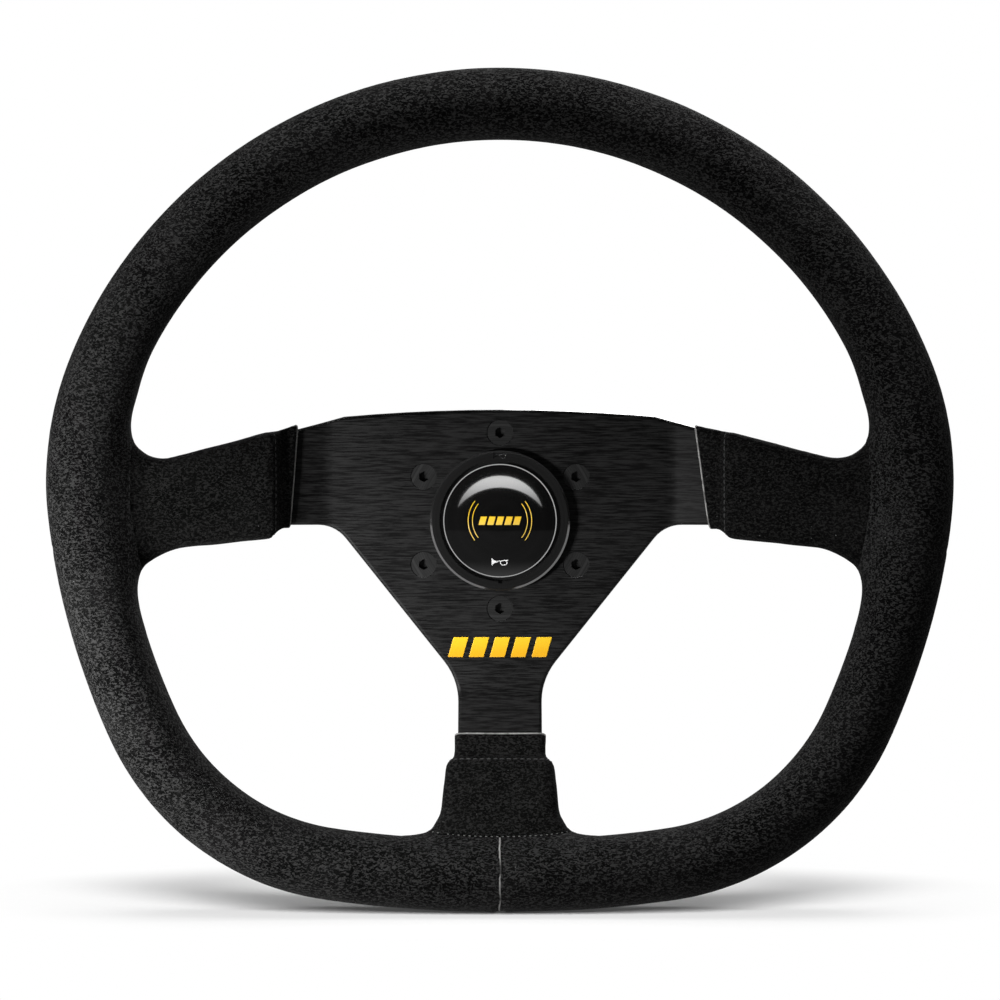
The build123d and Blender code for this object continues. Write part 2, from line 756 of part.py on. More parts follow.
# Coupler body: the flange behind the plate, the horn pocket and the barrel around the shaft socket
with BuildPart() as coupler_body:
    with BuildSketch(turning):
        with BuildLine():
            Polyline(
                (bush_radius, -lead_in),
                (barrel_radius, -lead_in),
                (barrel_radius, ring_height - press_gap),
                (barrel_radius - ring_depth, ring_height - press_gap),
                (barrel_radius - ring_depth, ring_height + ring_thickness + press_gap),
                (barrel_radius, ring_height + ring_thickness + press_gap),
                (barrel_radius, shoulder_height),
                (shoulder_radius, shoulder_height),
                (shoulder_radius, neck_height),
                (pocket_radius, neck_height),
                (pocket_outer_radius, neck_height + pocket_wall),
                (pocket_outer_radius, plate_back - flange_thickness),
                (flange_radius, plate_back - flange_thickness),
                (flange_radius, plate_back),
                (clip_radius + rub_gap, plate_back),
                (clip_radius + rub_gap, clip_foot - rub_gap),
                (pocket_radius, clip_foot - rub_gap),
                (pocket_radius, pocket_floor),
                (wire_hole_radius, pocket_floor),
                (wire_hole_radius, insert_top),
                (insert_radius, insert_top),
                (insert_radius, pilot_length),
                (bush_radius, pilot_length),
                close=True,
            )
        make_face()
    revolve(axis=Axis.Y)
    with Locations(facing(plate_back)):
        with PolarLocations(bolt_circle_radius, bolt_count, start_angle=90):
            Hole(thread_radius, depth=flange_thickness)
    with BuildSketch(facing(plate_back - flange_thickness)):
        with PolarLocations(flange_radius + flange_rim / 2, bolt_count, start_angle=90 - 180 / bolt_count):
            Circle(flange_scallop_radius)
    extrude(amount=flange_thickness, mode=Mode.SUBTRACT)
    for index in range(lock_count):
        with Locations(radial_plane(index * 360 / lock_count, lock_height, lock_nose)):
            Cone(
                lock_nose_radius + slide_gap,
                lock_tail_radius + slide_gap,
                lock_length,
                align=upright,
                mode=Mode.SUBTRACT,
            )
    for index in range(pin_count):
        with BuildSketch(pin_plane(index)):
            Circle(pin_radius + press_gap)
        extrude(amount=barrel_radius, mode=Mode.SUBTRACT)
coupler_body.part.label = "coupler_body"
export_step(coupler_body.part, "parts/coupler_body.step")

# Spline insert: a toothed steel sleeve, cross-pinned in the barrel
tooth_depth = spline_root_radius - spline_tip_radius
tooth_pitch = 360 / spline_teeth
groove_width = radians(tooth_pitch) * spline_tip_radius * spline_groove_share
with BuildPart() as spline_insert:
    with BuildSketch(facing(insert_foot)):
        Circle(insert_radius - press_gap)
        Circle(spline_tip_radius, mode=Mode.SUBTRACT)
        with PolarLocations(spline_tip_radius + tooth_depth / 2 - press_gap, spline_teeth):
            Trapezoid(groove_width, tooth_depth, spline_flank_angle, rotation=-90, mode=Mode.SUBTRACT)
    extrude(amount=spline_length)
    for index in range(pin_count):
        with BuildSketch(pin_plane(index)):
            Circle(pin_radius + press_gap)
        extrude(amount=barrel_radius, mode=Mode.SUBTRACT)
spline_insert.part.label = "spline_insert"
export_step(spline_insert.part, "parts/spline_insert.step")

pin_length = barrel_radius - (spline_root_radius + insert_radius) / 2 - seat_gap
with BuildPart() as insert_pins:
    for index in range(pin_count):
        with BuildSketch(pin_plane(index)):
            Circle(pin_radius)
        extrude(amount=pin_length)
insert_pins.part.label = "insert_pins"
export_step(insert_pins.part, "parts/insert_pins.step")

# Pilot bush: the plain bore at the mouth that centres the shaft, with a tapered lead-in
with BuildPart() as pilot_bush:
    with BuildSketch(turning):
        with BuildLine():
            Polyline(
                (pilot_radius, 0),
                (pilot_radius + lead_in, -lead_in),
                (bush_radius - press_gap, -lead_in),
                (bush_radius - press_gap, pilot_length),
                (pilot_radius, pilot_length),
                close=True,
            )
        make_face()
    revolve(axis=Axis.Y)
pilot_bush.part.label = "pilot_bush"
export_step(pilot_bush.part, "parts/pilot_bush.step")

# Locking pins: each sits in a tapered hole in the barrel, with its nose in the shaft's groove
for index in range(lock_count):
    with BuildPart(radial_plane(index * 360 / lock_count, lock_height, lock_nose)) as lock_pin:
        Cone(lock_nose_radius, lock_tail_radius, lock_length, align=upright)
        tail_edge = lock_pin.edges().filter_by(GeomType.CIRCLE).sort_by(SortBy.RADIUS)[-1]
        chamfer(tail_edge, lock_chamfer)
    lock_pin.part.label = f"lock_pin_{index + 1}"
    export_step(lock_pin.part, f"parts/lock_pin_{index + 1}.step")

# Release collar: slides on the barrel; its cam lets the pins out as it is pulled to the driver
collar_mouth = collar_stop - ring_thickness - 2 * seat_gap - lead_in
with BuildPart() as release_collar:
    with BuildSketch(turning):
        with BuildLine():
            Polyline(
                (ring_pocket_radius, collar_mouth),
                (collar_radius - 2 * lead_in, collar_mouth),
                (collar_radius, collar_mouth + 2 * lead_in),
                (collar_radius, collar_end - collar_lip_length - collar_lip),
                (collar_radius + collar_lip, collar_end - collar_lip_length),
                (collar_radius + collar_lip, collar_end),
                (collar_pocket_radius, collar_end),
                (collar_pocket_radius, collar_shoulder),
                (guide_radius, collar_shoulder),
                (guide_radius, cam_top),
                (cam_foot_radius, collar_stop),
                (ring_pocket_radius, collar_stop),
                close=True,
            )
        make_face()
    revolve(axis=Axis.Y)
    with BuildSketch(facing(collar_mouth)):
        with PolarLocations(collar_radius + rub_gap, grip_flutes):
            Circle(collar_lip / 2)
    extrude(amount=collar_end - collar_lip_length - collar_lip - collar_mouth, mode=Mode.SUBTRACT)
release_collar.part.label = "release_collar"
export_step(release_collar.part, "parts/release_collar.step")

# Collar spring, the washer it stands on and the snap ring that stops the collar
with BuildPart() as spring_seat:
    with BuildSketch(facing(shoulder_height - spring_seat_thickness)):
        Circle(shoulder_radius)
        Circle(barrel_radius + seat_gap, mode=Mode.SUBTRACT)
    extrude(amount=spring_seat_thickness)
spring_seat.part.label = "spring_seat"
export_step(spring_seat.part, "parts/spring_seat.step")

coil_foot = collar_shoulder + seat_gap + spring_wire / 2
coil_top = shoulder_height - spring_seat_thickness - seat_gap - spring_wire / 2
with BuildPart() as collar_spring:
    with BuildLine():
        coil = Helix(
            (coil_top - coil_foot) / spring_turns,
            coil_top - coil_foot,
            barrel_radius + pocket_width / 2,
            center=(0, -coil_foot, 0),
            direction=(0, -1, 0),
        )
    with BuildSketch(coil ^ 0):
        Rectangle(spring_wire, spring_wire)
    sweep(is_frenet=True)
collar_spring.part.label = "collar_spring"
export_step(collar_spring.part, "parts/collar_spring.step")

with BuildPart() as snap_ring:
    with BuildSketch(facing(ring_height)):
        Circle(ring_radius)
        Circle(barrel_radius - ring_depth + slide_gap, mode=Mode.SUBTRACT)
        with Locations((0, -ring_radius)):
            Rectangle(ring_radius / 3, ring_radius, mode=Mode.SUBTRACT)
    extrude(amount=ring_thickness)
snap_ring.part.label = "snap_ring"
export_step(snap_ring.part, "parts/snap_ring.step")
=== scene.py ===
# %% [markdown]
# # A quick release steering wheel
#
# The wheel is a suede-covered foam rim on a hidden hoop, a bent aluminium plate with three arms, a horn
# button in the middle and a sprung coupler behind it. The metal and plastic pieces come from the CAD model
# as they are and get their finishes here. The sewn suede is soft, so it is modelled here as fabric.

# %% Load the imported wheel
import math
from functools import partial

import bmesh
import bpy
import numpy as np
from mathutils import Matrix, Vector, noise
from mathutils.bvhtree import BVHTree


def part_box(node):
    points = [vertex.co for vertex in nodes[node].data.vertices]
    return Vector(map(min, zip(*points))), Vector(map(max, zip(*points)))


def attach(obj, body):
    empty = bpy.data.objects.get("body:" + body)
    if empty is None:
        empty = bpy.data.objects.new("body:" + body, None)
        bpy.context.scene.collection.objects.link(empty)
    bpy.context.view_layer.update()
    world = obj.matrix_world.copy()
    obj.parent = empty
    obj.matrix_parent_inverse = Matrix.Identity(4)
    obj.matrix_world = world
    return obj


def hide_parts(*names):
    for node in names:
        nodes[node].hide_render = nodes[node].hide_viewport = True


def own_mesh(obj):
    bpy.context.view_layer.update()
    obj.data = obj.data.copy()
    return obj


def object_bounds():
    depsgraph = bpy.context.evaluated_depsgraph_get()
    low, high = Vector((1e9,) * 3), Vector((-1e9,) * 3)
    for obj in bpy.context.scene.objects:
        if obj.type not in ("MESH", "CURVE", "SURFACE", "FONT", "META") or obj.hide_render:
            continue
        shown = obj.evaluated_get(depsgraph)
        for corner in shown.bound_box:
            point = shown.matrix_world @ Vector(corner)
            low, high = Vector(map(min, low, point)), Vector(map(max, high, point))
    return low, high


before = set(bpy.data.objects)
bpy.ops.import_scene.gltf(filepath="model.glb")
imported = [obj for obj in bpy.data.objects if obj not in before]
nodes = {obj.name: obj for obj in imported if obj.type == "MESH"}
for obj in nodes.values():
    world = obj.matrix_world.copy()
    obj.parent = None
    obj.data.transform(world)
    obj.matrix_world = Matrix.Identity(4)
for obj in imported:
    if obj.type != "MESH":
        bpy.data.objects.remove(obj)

cad_low, cad_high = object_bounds()
scene = bpy.context.scene
MM = 0.001

# %% [markdown]
# ## Small helpers
#
# A shader or geometry tree is a list of nodes with values and links. The helpers make a node, set its
# values and link whatever comes from another node. Arithmetic on such a value adds Math nodes, so that each
# tree below reads as a recipe.

# %% Values and nodes
def calculation(operation, flipped=False):
    """Method that adds a Math node for one operation on a value and another number."""
    def method(value, other=0.0):
        pair = (other, value) if flipped else (value, other)
        return output(value.tree, "ShaderNodeMath", dict(enumerate(pair)), operation=operation)
    return method


class Value:
    """Output of a node. Arithmetic with it adds Math nodes to its tree."""

    def __init__(self, socket):
        self.socket = socket
        self.tree = socket.id_data

    __add__ = calculation("ADD")
    __sub__ = calculation("SUBTRACT")
    __rsub__ = calculation("SUBTRACT", flipped=True)
    __mul__ = calculation("MULTIPLY")
    __truediv__ = calculation("DIVIDE")
    __rtruediv__ = calculation("DIVIDE", flipped=True)
    __pow__ = calculation("POWER")
    __abs__ = calculation("ABSOLUTE")
    root = calculation("SQRT")
    or_larger = calculation("MAXIMUM")


def give(socket, value):
    """Links a value to an input, or sets the input where the value is a plain one."""
    if isinstance(value, Value):
        socket.id_data.links.new(value.socket, socket)
    else:
        socket.default_value = value


def put(tree, kind, values=None, **settings):
    """Adds a node to a tree, with its settings and its inputs."""
    node = tree.nodes.new(kind)
    for key, setting in settings.items():
        setattr(node, key, setting)
    for key, value in (values or {}).items():
        give(node.inputs[key], value)
    return node


def output(tree, kind, values=None, at=0, **settings):
    """One output of a new node, its first if not told otherwise."""
    return Value(put(tree, kind, values, **settings).outputs[at])


def group(name, kind, inputs, outputs):
    """Starts a node group with typed sockets. Returns its tree, its input values and its results to give."""
    tree = bpy.data.node_groups.new(name, kind)
    for direction, sockets in (("INPUT", inputs), ("OUTPUT", outputs)):
        for socket, socket_type in sockets.items():
            tree.interface.new_socket(socket, in_out=direction, socket_type="NodeSocket" + socket_type)
    given = {socket.name: Value(socket) for socket in tree.nodes.new("NodeGroupInput").outputs if socket.name}
    print("node group", name, "takes", len(inputs), "inputs")
    return tree, given, tree.nodes.new("NodeGroupOutput").inputs


def use_group(tree, inputs, values):
    """Outputs of a node group in the tree of its first value, with values in the order of its inputs."""
    node = put(values[0].tree, "ShaderNodeGroup", dict(zip(inputs, values)), node_tree=tree)
    return [Value(result) for result in node.outputs]


# %% Nodes that the trees share
def remap(value, low, high, to_low=0.0, to_high=1.0):
    """A value that is moved smoothly from one range to another."""
    values = {"Value": value, "From Min": low, "From Max": high, "To Min": to_low, "To Max": to_high}
    return output(value.tree, "ShaderNodeMapRange", values, interpolation_type="SMOOTHSTEP")


def blend(amount, first, second):
    """Colour between a first and a second one."""
    return output(amount.tree, "ShaderNodeMix", {0: amount, 6: first, 7: second}, at=2, data_type="RGBA")


def split(vector):
    """The X, Y and Z of a vector."""
    return [Value(part) for part in put(vector.tree, "ShaderNodeSeparateXYZ", {0: vector}).outputs]


def combine(tree, x=0.0, y=0.0, z=0.0):
    """Vector of three numbers."""
    return output(tree, "ShaderNodeCombineXYZ", {"X": x, "Y": y, "Z": z})


def cloudy(place, scale, detail=2.0, **more):
    """Smooth noise at a place."""
    values = {"Vector": place, "Scale": scale, "Detail": detail, **more}
    return output(place.tree, "ShaderNodeTexNoise", values)


def mix_shaders(amount, first, second):
    """Shader between a first and a second one."""
    return output(amount.tree, "ShaderNodeMixShader", {0: amount, 1: first, 2: second})


def grey(value, tint=(1.0, 1.0, 1.0)):
    """Colour of a linear grey value, tinted."""
    return (value * tint[0], value * tint[1], value * tint[2], 1.0)


def glow(tree, strength, kind="ShaderNodeEmission"):
    """White light of a strength."""
    return output(tree, kind, {"Color": grey(1.0), "Strength": strength})


def place_of(tree):
    """Place on the piece, in metres."""
    return output(tree, "ShaderNodeTexCoord", at="Object")


# %% Materials
def new_finish(name, values):
    """Material with a Principled shader. Returns the material, its shader and the place on the piece."""
    material = bpy.data.materials.new(name)
    material.use_nodes = True
    shader = material.node_tree.nodes["Principled BSDF"]
    for key, value in values.items():
        shader.inputs[key].default_value = value
    return material, shader, place_of(material.node_tree)


def bare_tree(owner):
    """Empty shader tree of a material or a world."""
    owner.use_nodes = True
    owner.node_tree.nodes.clear()
    return owner.node_tree


def wear(shader, colour, roughness, height, depth):
    """Gives a shader a colour, a roughness if there is one, and a height of a depth in metres."""
    give(shader.inputs["Base Color"], colour)
    if roughness is not None:
        give(shader.inputs["Roughness"], roughness)
    bump = {"Height": height, "Distance": depth, "Strength": 1.0}
    give(shader.inputs["Normal"], output(height.tree, "ShaderNodeBump", bump))


# %% Mesh and piece helpers
def new_mesh(name, vertices, faces, edges=(), smooth=False):
    """Mesh of plain lists or arrays."""
    mesh = bpy.data.meshes.new(name)
    faces = [tuple(face) for face in faces]
    mesh.from_pydata([tuple(vertex) for vertex in vertices], edges, faces, shade_flat=not smooth)
    return mesh


def add_object(name, data):
    """Object in the scene."""
    obj = bpy.data.objects.new(name, data)
    scene.collection.objects.link(obj)
    return obj


def add_piece(name, mesh, body):
    """Visible piece that rides on a body, with its place in its mesh."""
    piece = add_object(name, mesh)
    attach(piece, body)
    print(name, len(mesh.polygons), "faces")
    return piece


def shape_of(name, source):
    """Mesh of an object with its modifiers. The object is removed."""
    mesh = bpy.data.meshes.new_from_object(source.evaluated_get(bpy.context.evaluated_depsgraph_get()))
    mesh.name = name
    bpy.data.objects.remove(source)
    return mesh


# %% [markdown]
# ## Where things are
#
# The plate's front, the rim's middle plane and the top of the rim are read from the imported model. The
# rim's line is the same chain of arcs that the CAD model turns its hoop on, so the suede fits the hoop.

# %% Read the main places
hoop_half_width = 6.0 * MM
hoop_low, hoop_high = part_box("rim_hoop")
rim_y = (hoop_low.y + hoop_high.y) / 2
rim_top = hoop_high.z - hoop_half_width
bezel_height = 3.5 * MM
bezel_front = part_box("horn_bezel")[0].y
plate_front = bezel_front + bezel_height
plate_half = 2.0 * MM
plate_middle = plate_front + plate_half
print("rim middle plane y", round(rim_y, 5), "plate front y", round(plate_front, 5))

# %% The rim's line
rim_arcs = [(165.1 * MM, 68.5), (111.6 * MM, 28.4), (275.7 * MM, 17.4), (94.0 * MM, 57.6)]
grip_half_width = 13.8 * MM
grip_half_depth = 15.5 * MM
far_off = 9.0
tiny_turn = 1e-6


def outward(turn):
    """Direction in the wheel's plane, as (x, z), turned clockwise from straight up, in radians."""
    return np.array([math.sin(turn), math.cos(turn)])


def arc_chain():
    """Centre, radius, start and turn of each arc of the right half, from the top to the bottom."""
    across, turn = 0.0, 0.0
    for radius, angle in rim_arcs:
        across += radius * (math.sin(math.radians(turn + angle)) - math.sin(math.radians(turn)))
        turn += angle
    arcs = rim_arcs + [(across / math.sin(math.radians(turn)), 180.0 - turn)]
    chain, point, start = [], np.array([0.0, rim_top]), 0.0
    for radius, angle in arcs:
        centre = point - outward(start) * radius
        chain.append((centre, radius, start, math.radians(angle)))
        start += math.radians(angle)
        point = centre + outward(start) * radius
    return chain


chain = arc_chain()
half_length = sum(radius * angle for _, radius, _, angle in chain)
rim_bottom = chain[-1][0][1] - chain[-1][1]
rim_reach = max(c[0] + r * math.sin(min(max(s, math.pi / 2), s + a)) for c, r, s, a in chain)


def rim_line(distance):
    """Point and outward direction, as (x, z), at a distance along the rim clockwise from its top."""
    way = distance % (2 * half_length)
    mirrored = way > half_length
    left = 2 * half_length - way if mirrored else way
    for centre, radius, start, angle in chain:
        if left <= radius * angle + 1e-9:
            break
        left -= radius * angle
    direction = outward(start + left / radius)
    point = centre + direction * radius
    side = np.array([-1.0 if mirrored else 1.0, 1.0])
    return point * side, direction * side


def rim_place(points):
    """Distance of each point outwards from the rim's line, and the outward direction there, in x and z."""
    beyond, away = np.full(len(points), far_off), np.zeros((len(points), 2))
    for centre, radius, start, angle in chain:
        arm = np.stack([np.abs(points[:, 0]) - centre[0], points[:, 2] - centre[1]], axis=1)
        turn = np.arctan2(arm[:, 0], arm[:, 1])
        length = np.linalg.norm(arm, axis=1)
        here = (turn >= start - tiny_turn) & (turn <= start + angle + tiny_turn)
        here &= np.abs(length - radius) < np.abs(beyond)
        beyond = np.where(here, length - radius, beyond)
        away = np.where(here[:, None], arm / np.maximum(length, 1e-9)[:, None], away)
    away[:, 0] *= np.sign(points[:, 0])
    return beyond, away


print("rim line", round(2 * half_length, 4), "m long, bottom z", round(rim_bottom, 5))

# %% [markdown]
# ## The arms
#
# Each arm leaves the flat middle of the plate at a bend and rises to the rim's middle plane. A place on
# an arm is given by its reach from the steering axis, its place sideways, and its lift off the arm's
# middle surface towards the driver.

# %% Arms and their slopes
side_bend = 69.0 * MM
lower_bend = 68.0 * MM
side_slope = math.atan((plate_middle - rim_y) / (rim_reach - side_bend))
lower_slope = math.atan((plate_middle - rim_y) / (-rim_bottom - lower_bend))


def on_side_arm(reach, side, lift, hand=1.0):
    """Point on the right arm, or on the left one with a hand of -1."""
    rise = (reach - side_bend) * math.tan(side_slope) + lift * math.cos(side_slope)
    return (hand * (reach - lift * math.sin(side_slope)), plate_middle - rise, side)


def on_lower_arm(reach, side, lift):
    """Point on the lower arm."""
    rise = (reach - lower_bend) * math.tan(lower_slope) + lift * math.cos(lower_slope)
    return (side, plate_middle - rise, -(reach - lift * math.sin(lower_slope)))


print("side slope", round(math.degrees(side_slope), 2), "lower slope", round(math.degrees(lower_slope), 2))

# %% [markdown]
# ## Suede form
#
# On the real wheel the foam is one moulding with the rim and three webs, and the suede is stretched over
# it, so the form under the suede has soft fillets everywhere. The quickest way to that form is to loft
# the rim and the three sleeves as plain tubes, melt them into one skin with a voxel remesh, and relax the
# skin where a sleeve runs into the rim. The skin is then cut along the seams into its four panels.

# %% Sleeve edges
hem_gap = 1.5 * MM
web_half = 7.9 * MM
step_length = 2.4 * MM
side_hem = 79.5 * MM
lower_hem = 85.0 * MM
hem_band = 10.0 * MM
upper_blend, under_blend = 17.5 * MM, 20.0 * MM
blend_wall = 3.2 * MM
web_bulge, web_bulge_z = 2.6 * MM, 12 * MM
web_bulge_start, web_bulge_end = 28 * MM, 62 * MM
beside_arms = 110 * MM
lower_blend = 10.4 * MM
cut_off = 6.0 * MM
ring_pitch = 1.2 * MM
plate_upper_edge, plate_lower_edge = (41.42 * MM, -0.28, 62.0 * MM), (-1.7 * MM, -0.1, 83.0 * MM)
web_upper_edge, web_lower_edge = (36.0 * MM, -0.288, 89.1 * MM), (-7.1 * MM, -0.1, 90.1 * MM)
lower_plate_half, lower_web_edge = 18.1 * MM, (20.9 * MM, 0.1, 92.8 * MM)


def edge_at(reach, edge):
    """Height of a straight edge at a reach. The edge is a height, a slope and the reach where it starts."""
    height, slope, start = edge
    return height + slope * (reach - start)


def ease(value, start, end):
    """Smooth rise from 0 to 1 between a start and an end."""
    share = np.clip((value - start) / (end - start), 0.0, 1.0)
    return share * share * (3.0 - 2.0 * share)


def flare(distance, radius):
    """How far a fillet stands out at a distance from the wall that it runs into."""
    if distance >= radius:
        return 0.0
    return radius - math.sqrt(max(radius ** 2 - (radius - max(distance, 0.0)) ** 2, 0.0))


def between(first, second, share):
    """Value at a share of the way from a first to a second one."""
    return first + (second - first) * share


def web_share(reach, hem):
    """Share of a sleeve's swell over the foam web at a reach, from 0 at the plate to 1 on the web."""
    return ease(reach, hem + hem_band - step_length / 2, hem + hem_band + step_length / 2)


def side_edges(reach):
    """Upper edge, lower edge and half thickness of a side sleeve at a reach."""
    swell = web_share(reach, side_hem)
    plate_upper = edge_at(reach, plate_upper_edge) + hem_gap
    plate_lower = edge_at(max(reach, plate_lower_edge[2]), plate_lower_edge) - hem_gap
    to_wall = rim_reach - grip_half_width - blend_wall - reach
    upper = between(plate_upper, edge_at(reach, web_upper_edge), swell) + flare(to_wall, upper_blend)
    lower = between(plate_lower, edge_at(reach, web_lower_edge), swell) - flare(to_wall, under_blend)
    return upper, lower, between(plate_half + hem_gap, web_half, swell)


def lower_edges(reach):
    """Upper edge, lower edge and half thickness of the lower sleeve at a reach."""
    swell = web_share(reach, lower_hem)
    width = between(lower_plate_half, edge_at(reach, lower_web_edge), swell)
    width += flare(-rim_bottom - grip_half_width - reach, lower_blend)
    return width, -width, between(plate_half + hem_gap, web_half, swell)


print("side sleeve at its hem:", [round(float(edge) * 1000, 1) for edge in side_edges(side_hem)], "mm")


# %% Lofted rim and sleeves
def ring_of(edges, corner_share=0.55, corner_points=6, side_points=12):
    """Closed ring of (side, lift) points round a sleeve, with rounded corners."""
    upper, lower, half = edges
    corner = corner_share * half
    ring = []
    middles = ((upper - corner, half - corner, 0), (lower + corner, half - corner, 90),
               (lower + corner, corner - half, 180), (upper - corner, corner - half, 270))
    for index, (side, lift, turn) in enumerate(middles):
        for step in range(corner_points):
            angle = math.radians(turn + 90 * step / (corner_points - 1))
            ring.append((side + corner * math.cos(angle), lift + corner * math.sin(angle)))
        if index % 2 == 0:
            other = middles[(index + 1) % 4]
            start = ring[-1][0]
            for step in range(1, side_points):
                ring.append((start + (other[0] - start) * step / side_points, ring[-1][1]))
    return ring


def tube(rings, closed=False):
    """Vertices and faces of a tube through rings of points, joined end to end or capped at both ends."""
    rows, count = len(rings), len(rings[0])
    faces = []
    for row in range(rows if closed else rows - 1):
        here, below = row * count, (row + 1) % rows * count
        for i in range(count):
            beside = (i + 1) % count
            faces.append((here + i, here + beside, below + beside, below + i))
    if not closed:
        faces.append(tuple(reversed(range(count))))
        faces.append(tuple(range((rows - 1) * count, rows * count)))
    return [point for ring in rings for point in ring], faces


def sleeve_form(place, edges_at, hem, end):
    """Lofted sleeve from a little before its hem to inside the rim."""
    reaches = np.arange(hem - cut_off, end, ring_pitch)
    return tube([[place(reach, side, lift) for side, lift in ring_of(edges_at(reach))] for reach in reaches])


def rim_form(rows=640, columns=64):
    """Lofted oval grip along the rim's line, closed on itself and thicker inwards beside the sleeves."""
    rings = []
    for row in range(rows):
        point, direction = rim_line(2 * half_length * row / rows)
        beside_sleeve = 1 - ease(abs(point[1] - web_bulge_z), web_bulge_start, web_bulge_end)
        bulge = web_bulge * beside_sleeve * (abs(point[0]) > beside_arms)
        ring = []
        for column in range(columns):
            angle = 2 * math.pi * column / columns
            across = grip_half_width * math.cos(angle) - bulge * max(-math.cos(angle), 0.0)
            x, z = point + direction * across
            ring.append((x, rim_y - grip_half_depth * math.sin(angle), z))
        rings.append(ring)
    return tube(rings, closed=True)


def joined(parts):
    """One mesh of several lists of vertices and faces."""
    vertices, faces = [], []
    for part_vertices, part_faces in parts:
        faces += [tuple(index + len(vertices) for index in face) for face in part_faces]
        vertices += part_vertices
    return vertices, faces


end_gap = 4.0 * MM
sleeves = ((on_side_arm, side_edges, side_hem, rim_reach - end_gap),
           (partial(on_side_arm, hand=-1.0), side_edges, side_hem, rim_reach - end_gap),
           (on_lower_arm, lower_edges, lower_hem, -rim_bottom - end_gap))
forms = [rim_form()] + [sleeve_form(*sleeve) for sleeve in sleeves]
print("lofted forms:", [len(form[1]) for form in forms], "faces")

# %% One skin
skin_voxel = 1.7 * MM


def fix_normals(mesh):
    """Turns all faces of a closed mesh outwards."""
    work = bmesh.new()
    work.from_mesh(mesh)
    bmesh.ops.recalc_face_normals(work, faces=work.faces)
    work.to_mesh(mesh)
    work.free()


def melted(parts, voxel):
    """Arrays of the vertices and faces of one skin round several closed forms."""
    mesh = new_mesh("form", *joined(parts))
    fix_normals(mesh)
    form = add_object("form", mesh)
    remesh = form.modifiers.new("skin", "REMESH")
    remesh.mode = "VOXEL"
    remesh.voxel_size = voxel
    skin = shape_of("skin", form)
    points = np.empty(len(skin.vertices) * 3)
    skin.vertices.foreach_get("co", points)
    quads = [tuple(face.vertices) for face in skin.polygons]
    bpy.data.meshes.remove(skin)
    return points.reshape(-1, 3), quads


points, quads = melted(forms, skin_voxel)
faces_of_skin = np.array(quads)
print("skin:", len(points), "vertices,", len(quads), "faces")


# %% Relax the fillets
def skin_normals(points):
    """Unit normal at each vertex of the skin."""
    corners = points[faces_of_skin]
    face = np.cross(corners[:, 2] - corners[:, 0], corners[:, 3] - corners[:, 1])
    total = np.stack([sum(np.bincount(faces_of_skin[:, k], weights=face[:, axis], minlength=len(points))
                          for k in range(4)) for axis in range(3)], axis=1)
    return total / np.maximum(np.linalg.norm(total, axis=1), 1e-12)[:, None]


def relax(points, weight, rounds):
    """Moves each vertex towards the middle of its neighbours, by its weight, for some rounds."""
    pairs = np.concatenate([faces_of_skin[:, [k, (k + 1) % 4]] for k in range(4)])
    degree = np.bincount(pairs[:, 0], minlength=len(points))
    for _ in range(rounds):
        middle = np.stack([np.bincount(pairs[:, 0], weights=points[pairs[:, 1], axis], minlength=len(points))
                           for axis in range(3)], axis=1) / degree[:, None]
        points = points + (middle - points) * weight[:, None]
    return points


crease_at, crease_width = -16.5 * MM, 7.0 * MM
beyond, _ = rim_place(points)
across, height = np.abs(points[:, 0]), points[:, 2]
side_window = ease(height, -44 * MM, -28 * MM) * (1 - ease(height, 36 * MM, 52 * MM))
side_window *= ease(across, 110 * MM, 125 * MM)
lower_window = (1 - ease(across, 26 * MM, 38 * MM)) * ease(-height, 95 * MM, 105 * MM)
near_web = np.maximum(side_window, lower_window)
crease = near_web * np.exp(-((beyond - crease_at) / crease_width) ** 2)
points = relax(points, 0.9 * crease, 34)
points = relax(points, np.full(len(points), 0.4), 2)
print("relaxed", int((crease > 0.1).sum()), "vertices round the webs")

# %% [markdown]
# ## Sculpting the suede
#
# Stretched suede is never quite even: it sinks a little at every seam, swells beside it, and a sleeve
# shows soft dents where it was pulled over the foam. These are small moves along the surface's normal,
# made from smooth noise and from the distance to each seam. Then the suede is kept off the foam of the CAD
# model, and the side hems get the slant that they have from being cut by eye.

# %% Distances to the seams
back_seam_angle = math.radians(221.0)
section_radius = 14.5 * MM
lower_top = -70 * MM
side_seam = -18.6 * MM
lower_seam, lower_bow, lower_bow_width = -15.5 * MM, 0.9 * MM, 30 * MM
hem_stitch_gap = 10.9 * MM


def lower_seam_at(across):
    """Distance of the lower sleeve's seam outwards from the rim's line. Its ends lie further in."""
    return lower_seam - lower_bow * (across / lower_bow_width) ** 2


def arm_reach(points, across, bend, slope):
    """Reach of each point along an arm, from its distance across and its height."""
    rise = plate_middle - points[:, 1]
    return bend + ((across - bend) * math.cos(slope) + rise * math.sin(slope)) * math.cos(slope)


beyond, away = rim_place(points)
on_lower = (np.abs(points[:, 0]) < 40 * MM) & (points[:, 2] < lower_top)
side_hem_distance = arm_reach(points, np.abs(points[:, 0]), side_bend, side_slope) - side_hem
lower_hem_distance = arm_reach(points, -points[:, 2], lower_bend, lower_slope) - lower_hem
hem_distance = np.where(on_lower, lower_hem_distance, side_hem_distance)
to_seam = beyond - np.where(on_lower, lower_seam_at(points[:, 0]), side_seam)
depth_share = (rim_y - points[:, 1]) / grip_half_depth
section_angle = np.arctan2(depth_share, beyond / grip_half_width) % (2 * math.pi)
to_back_seam = (section_angle - back_seam_angle) * section_radius
print("hem distances from", round(float(hem_distance.min()), 4))


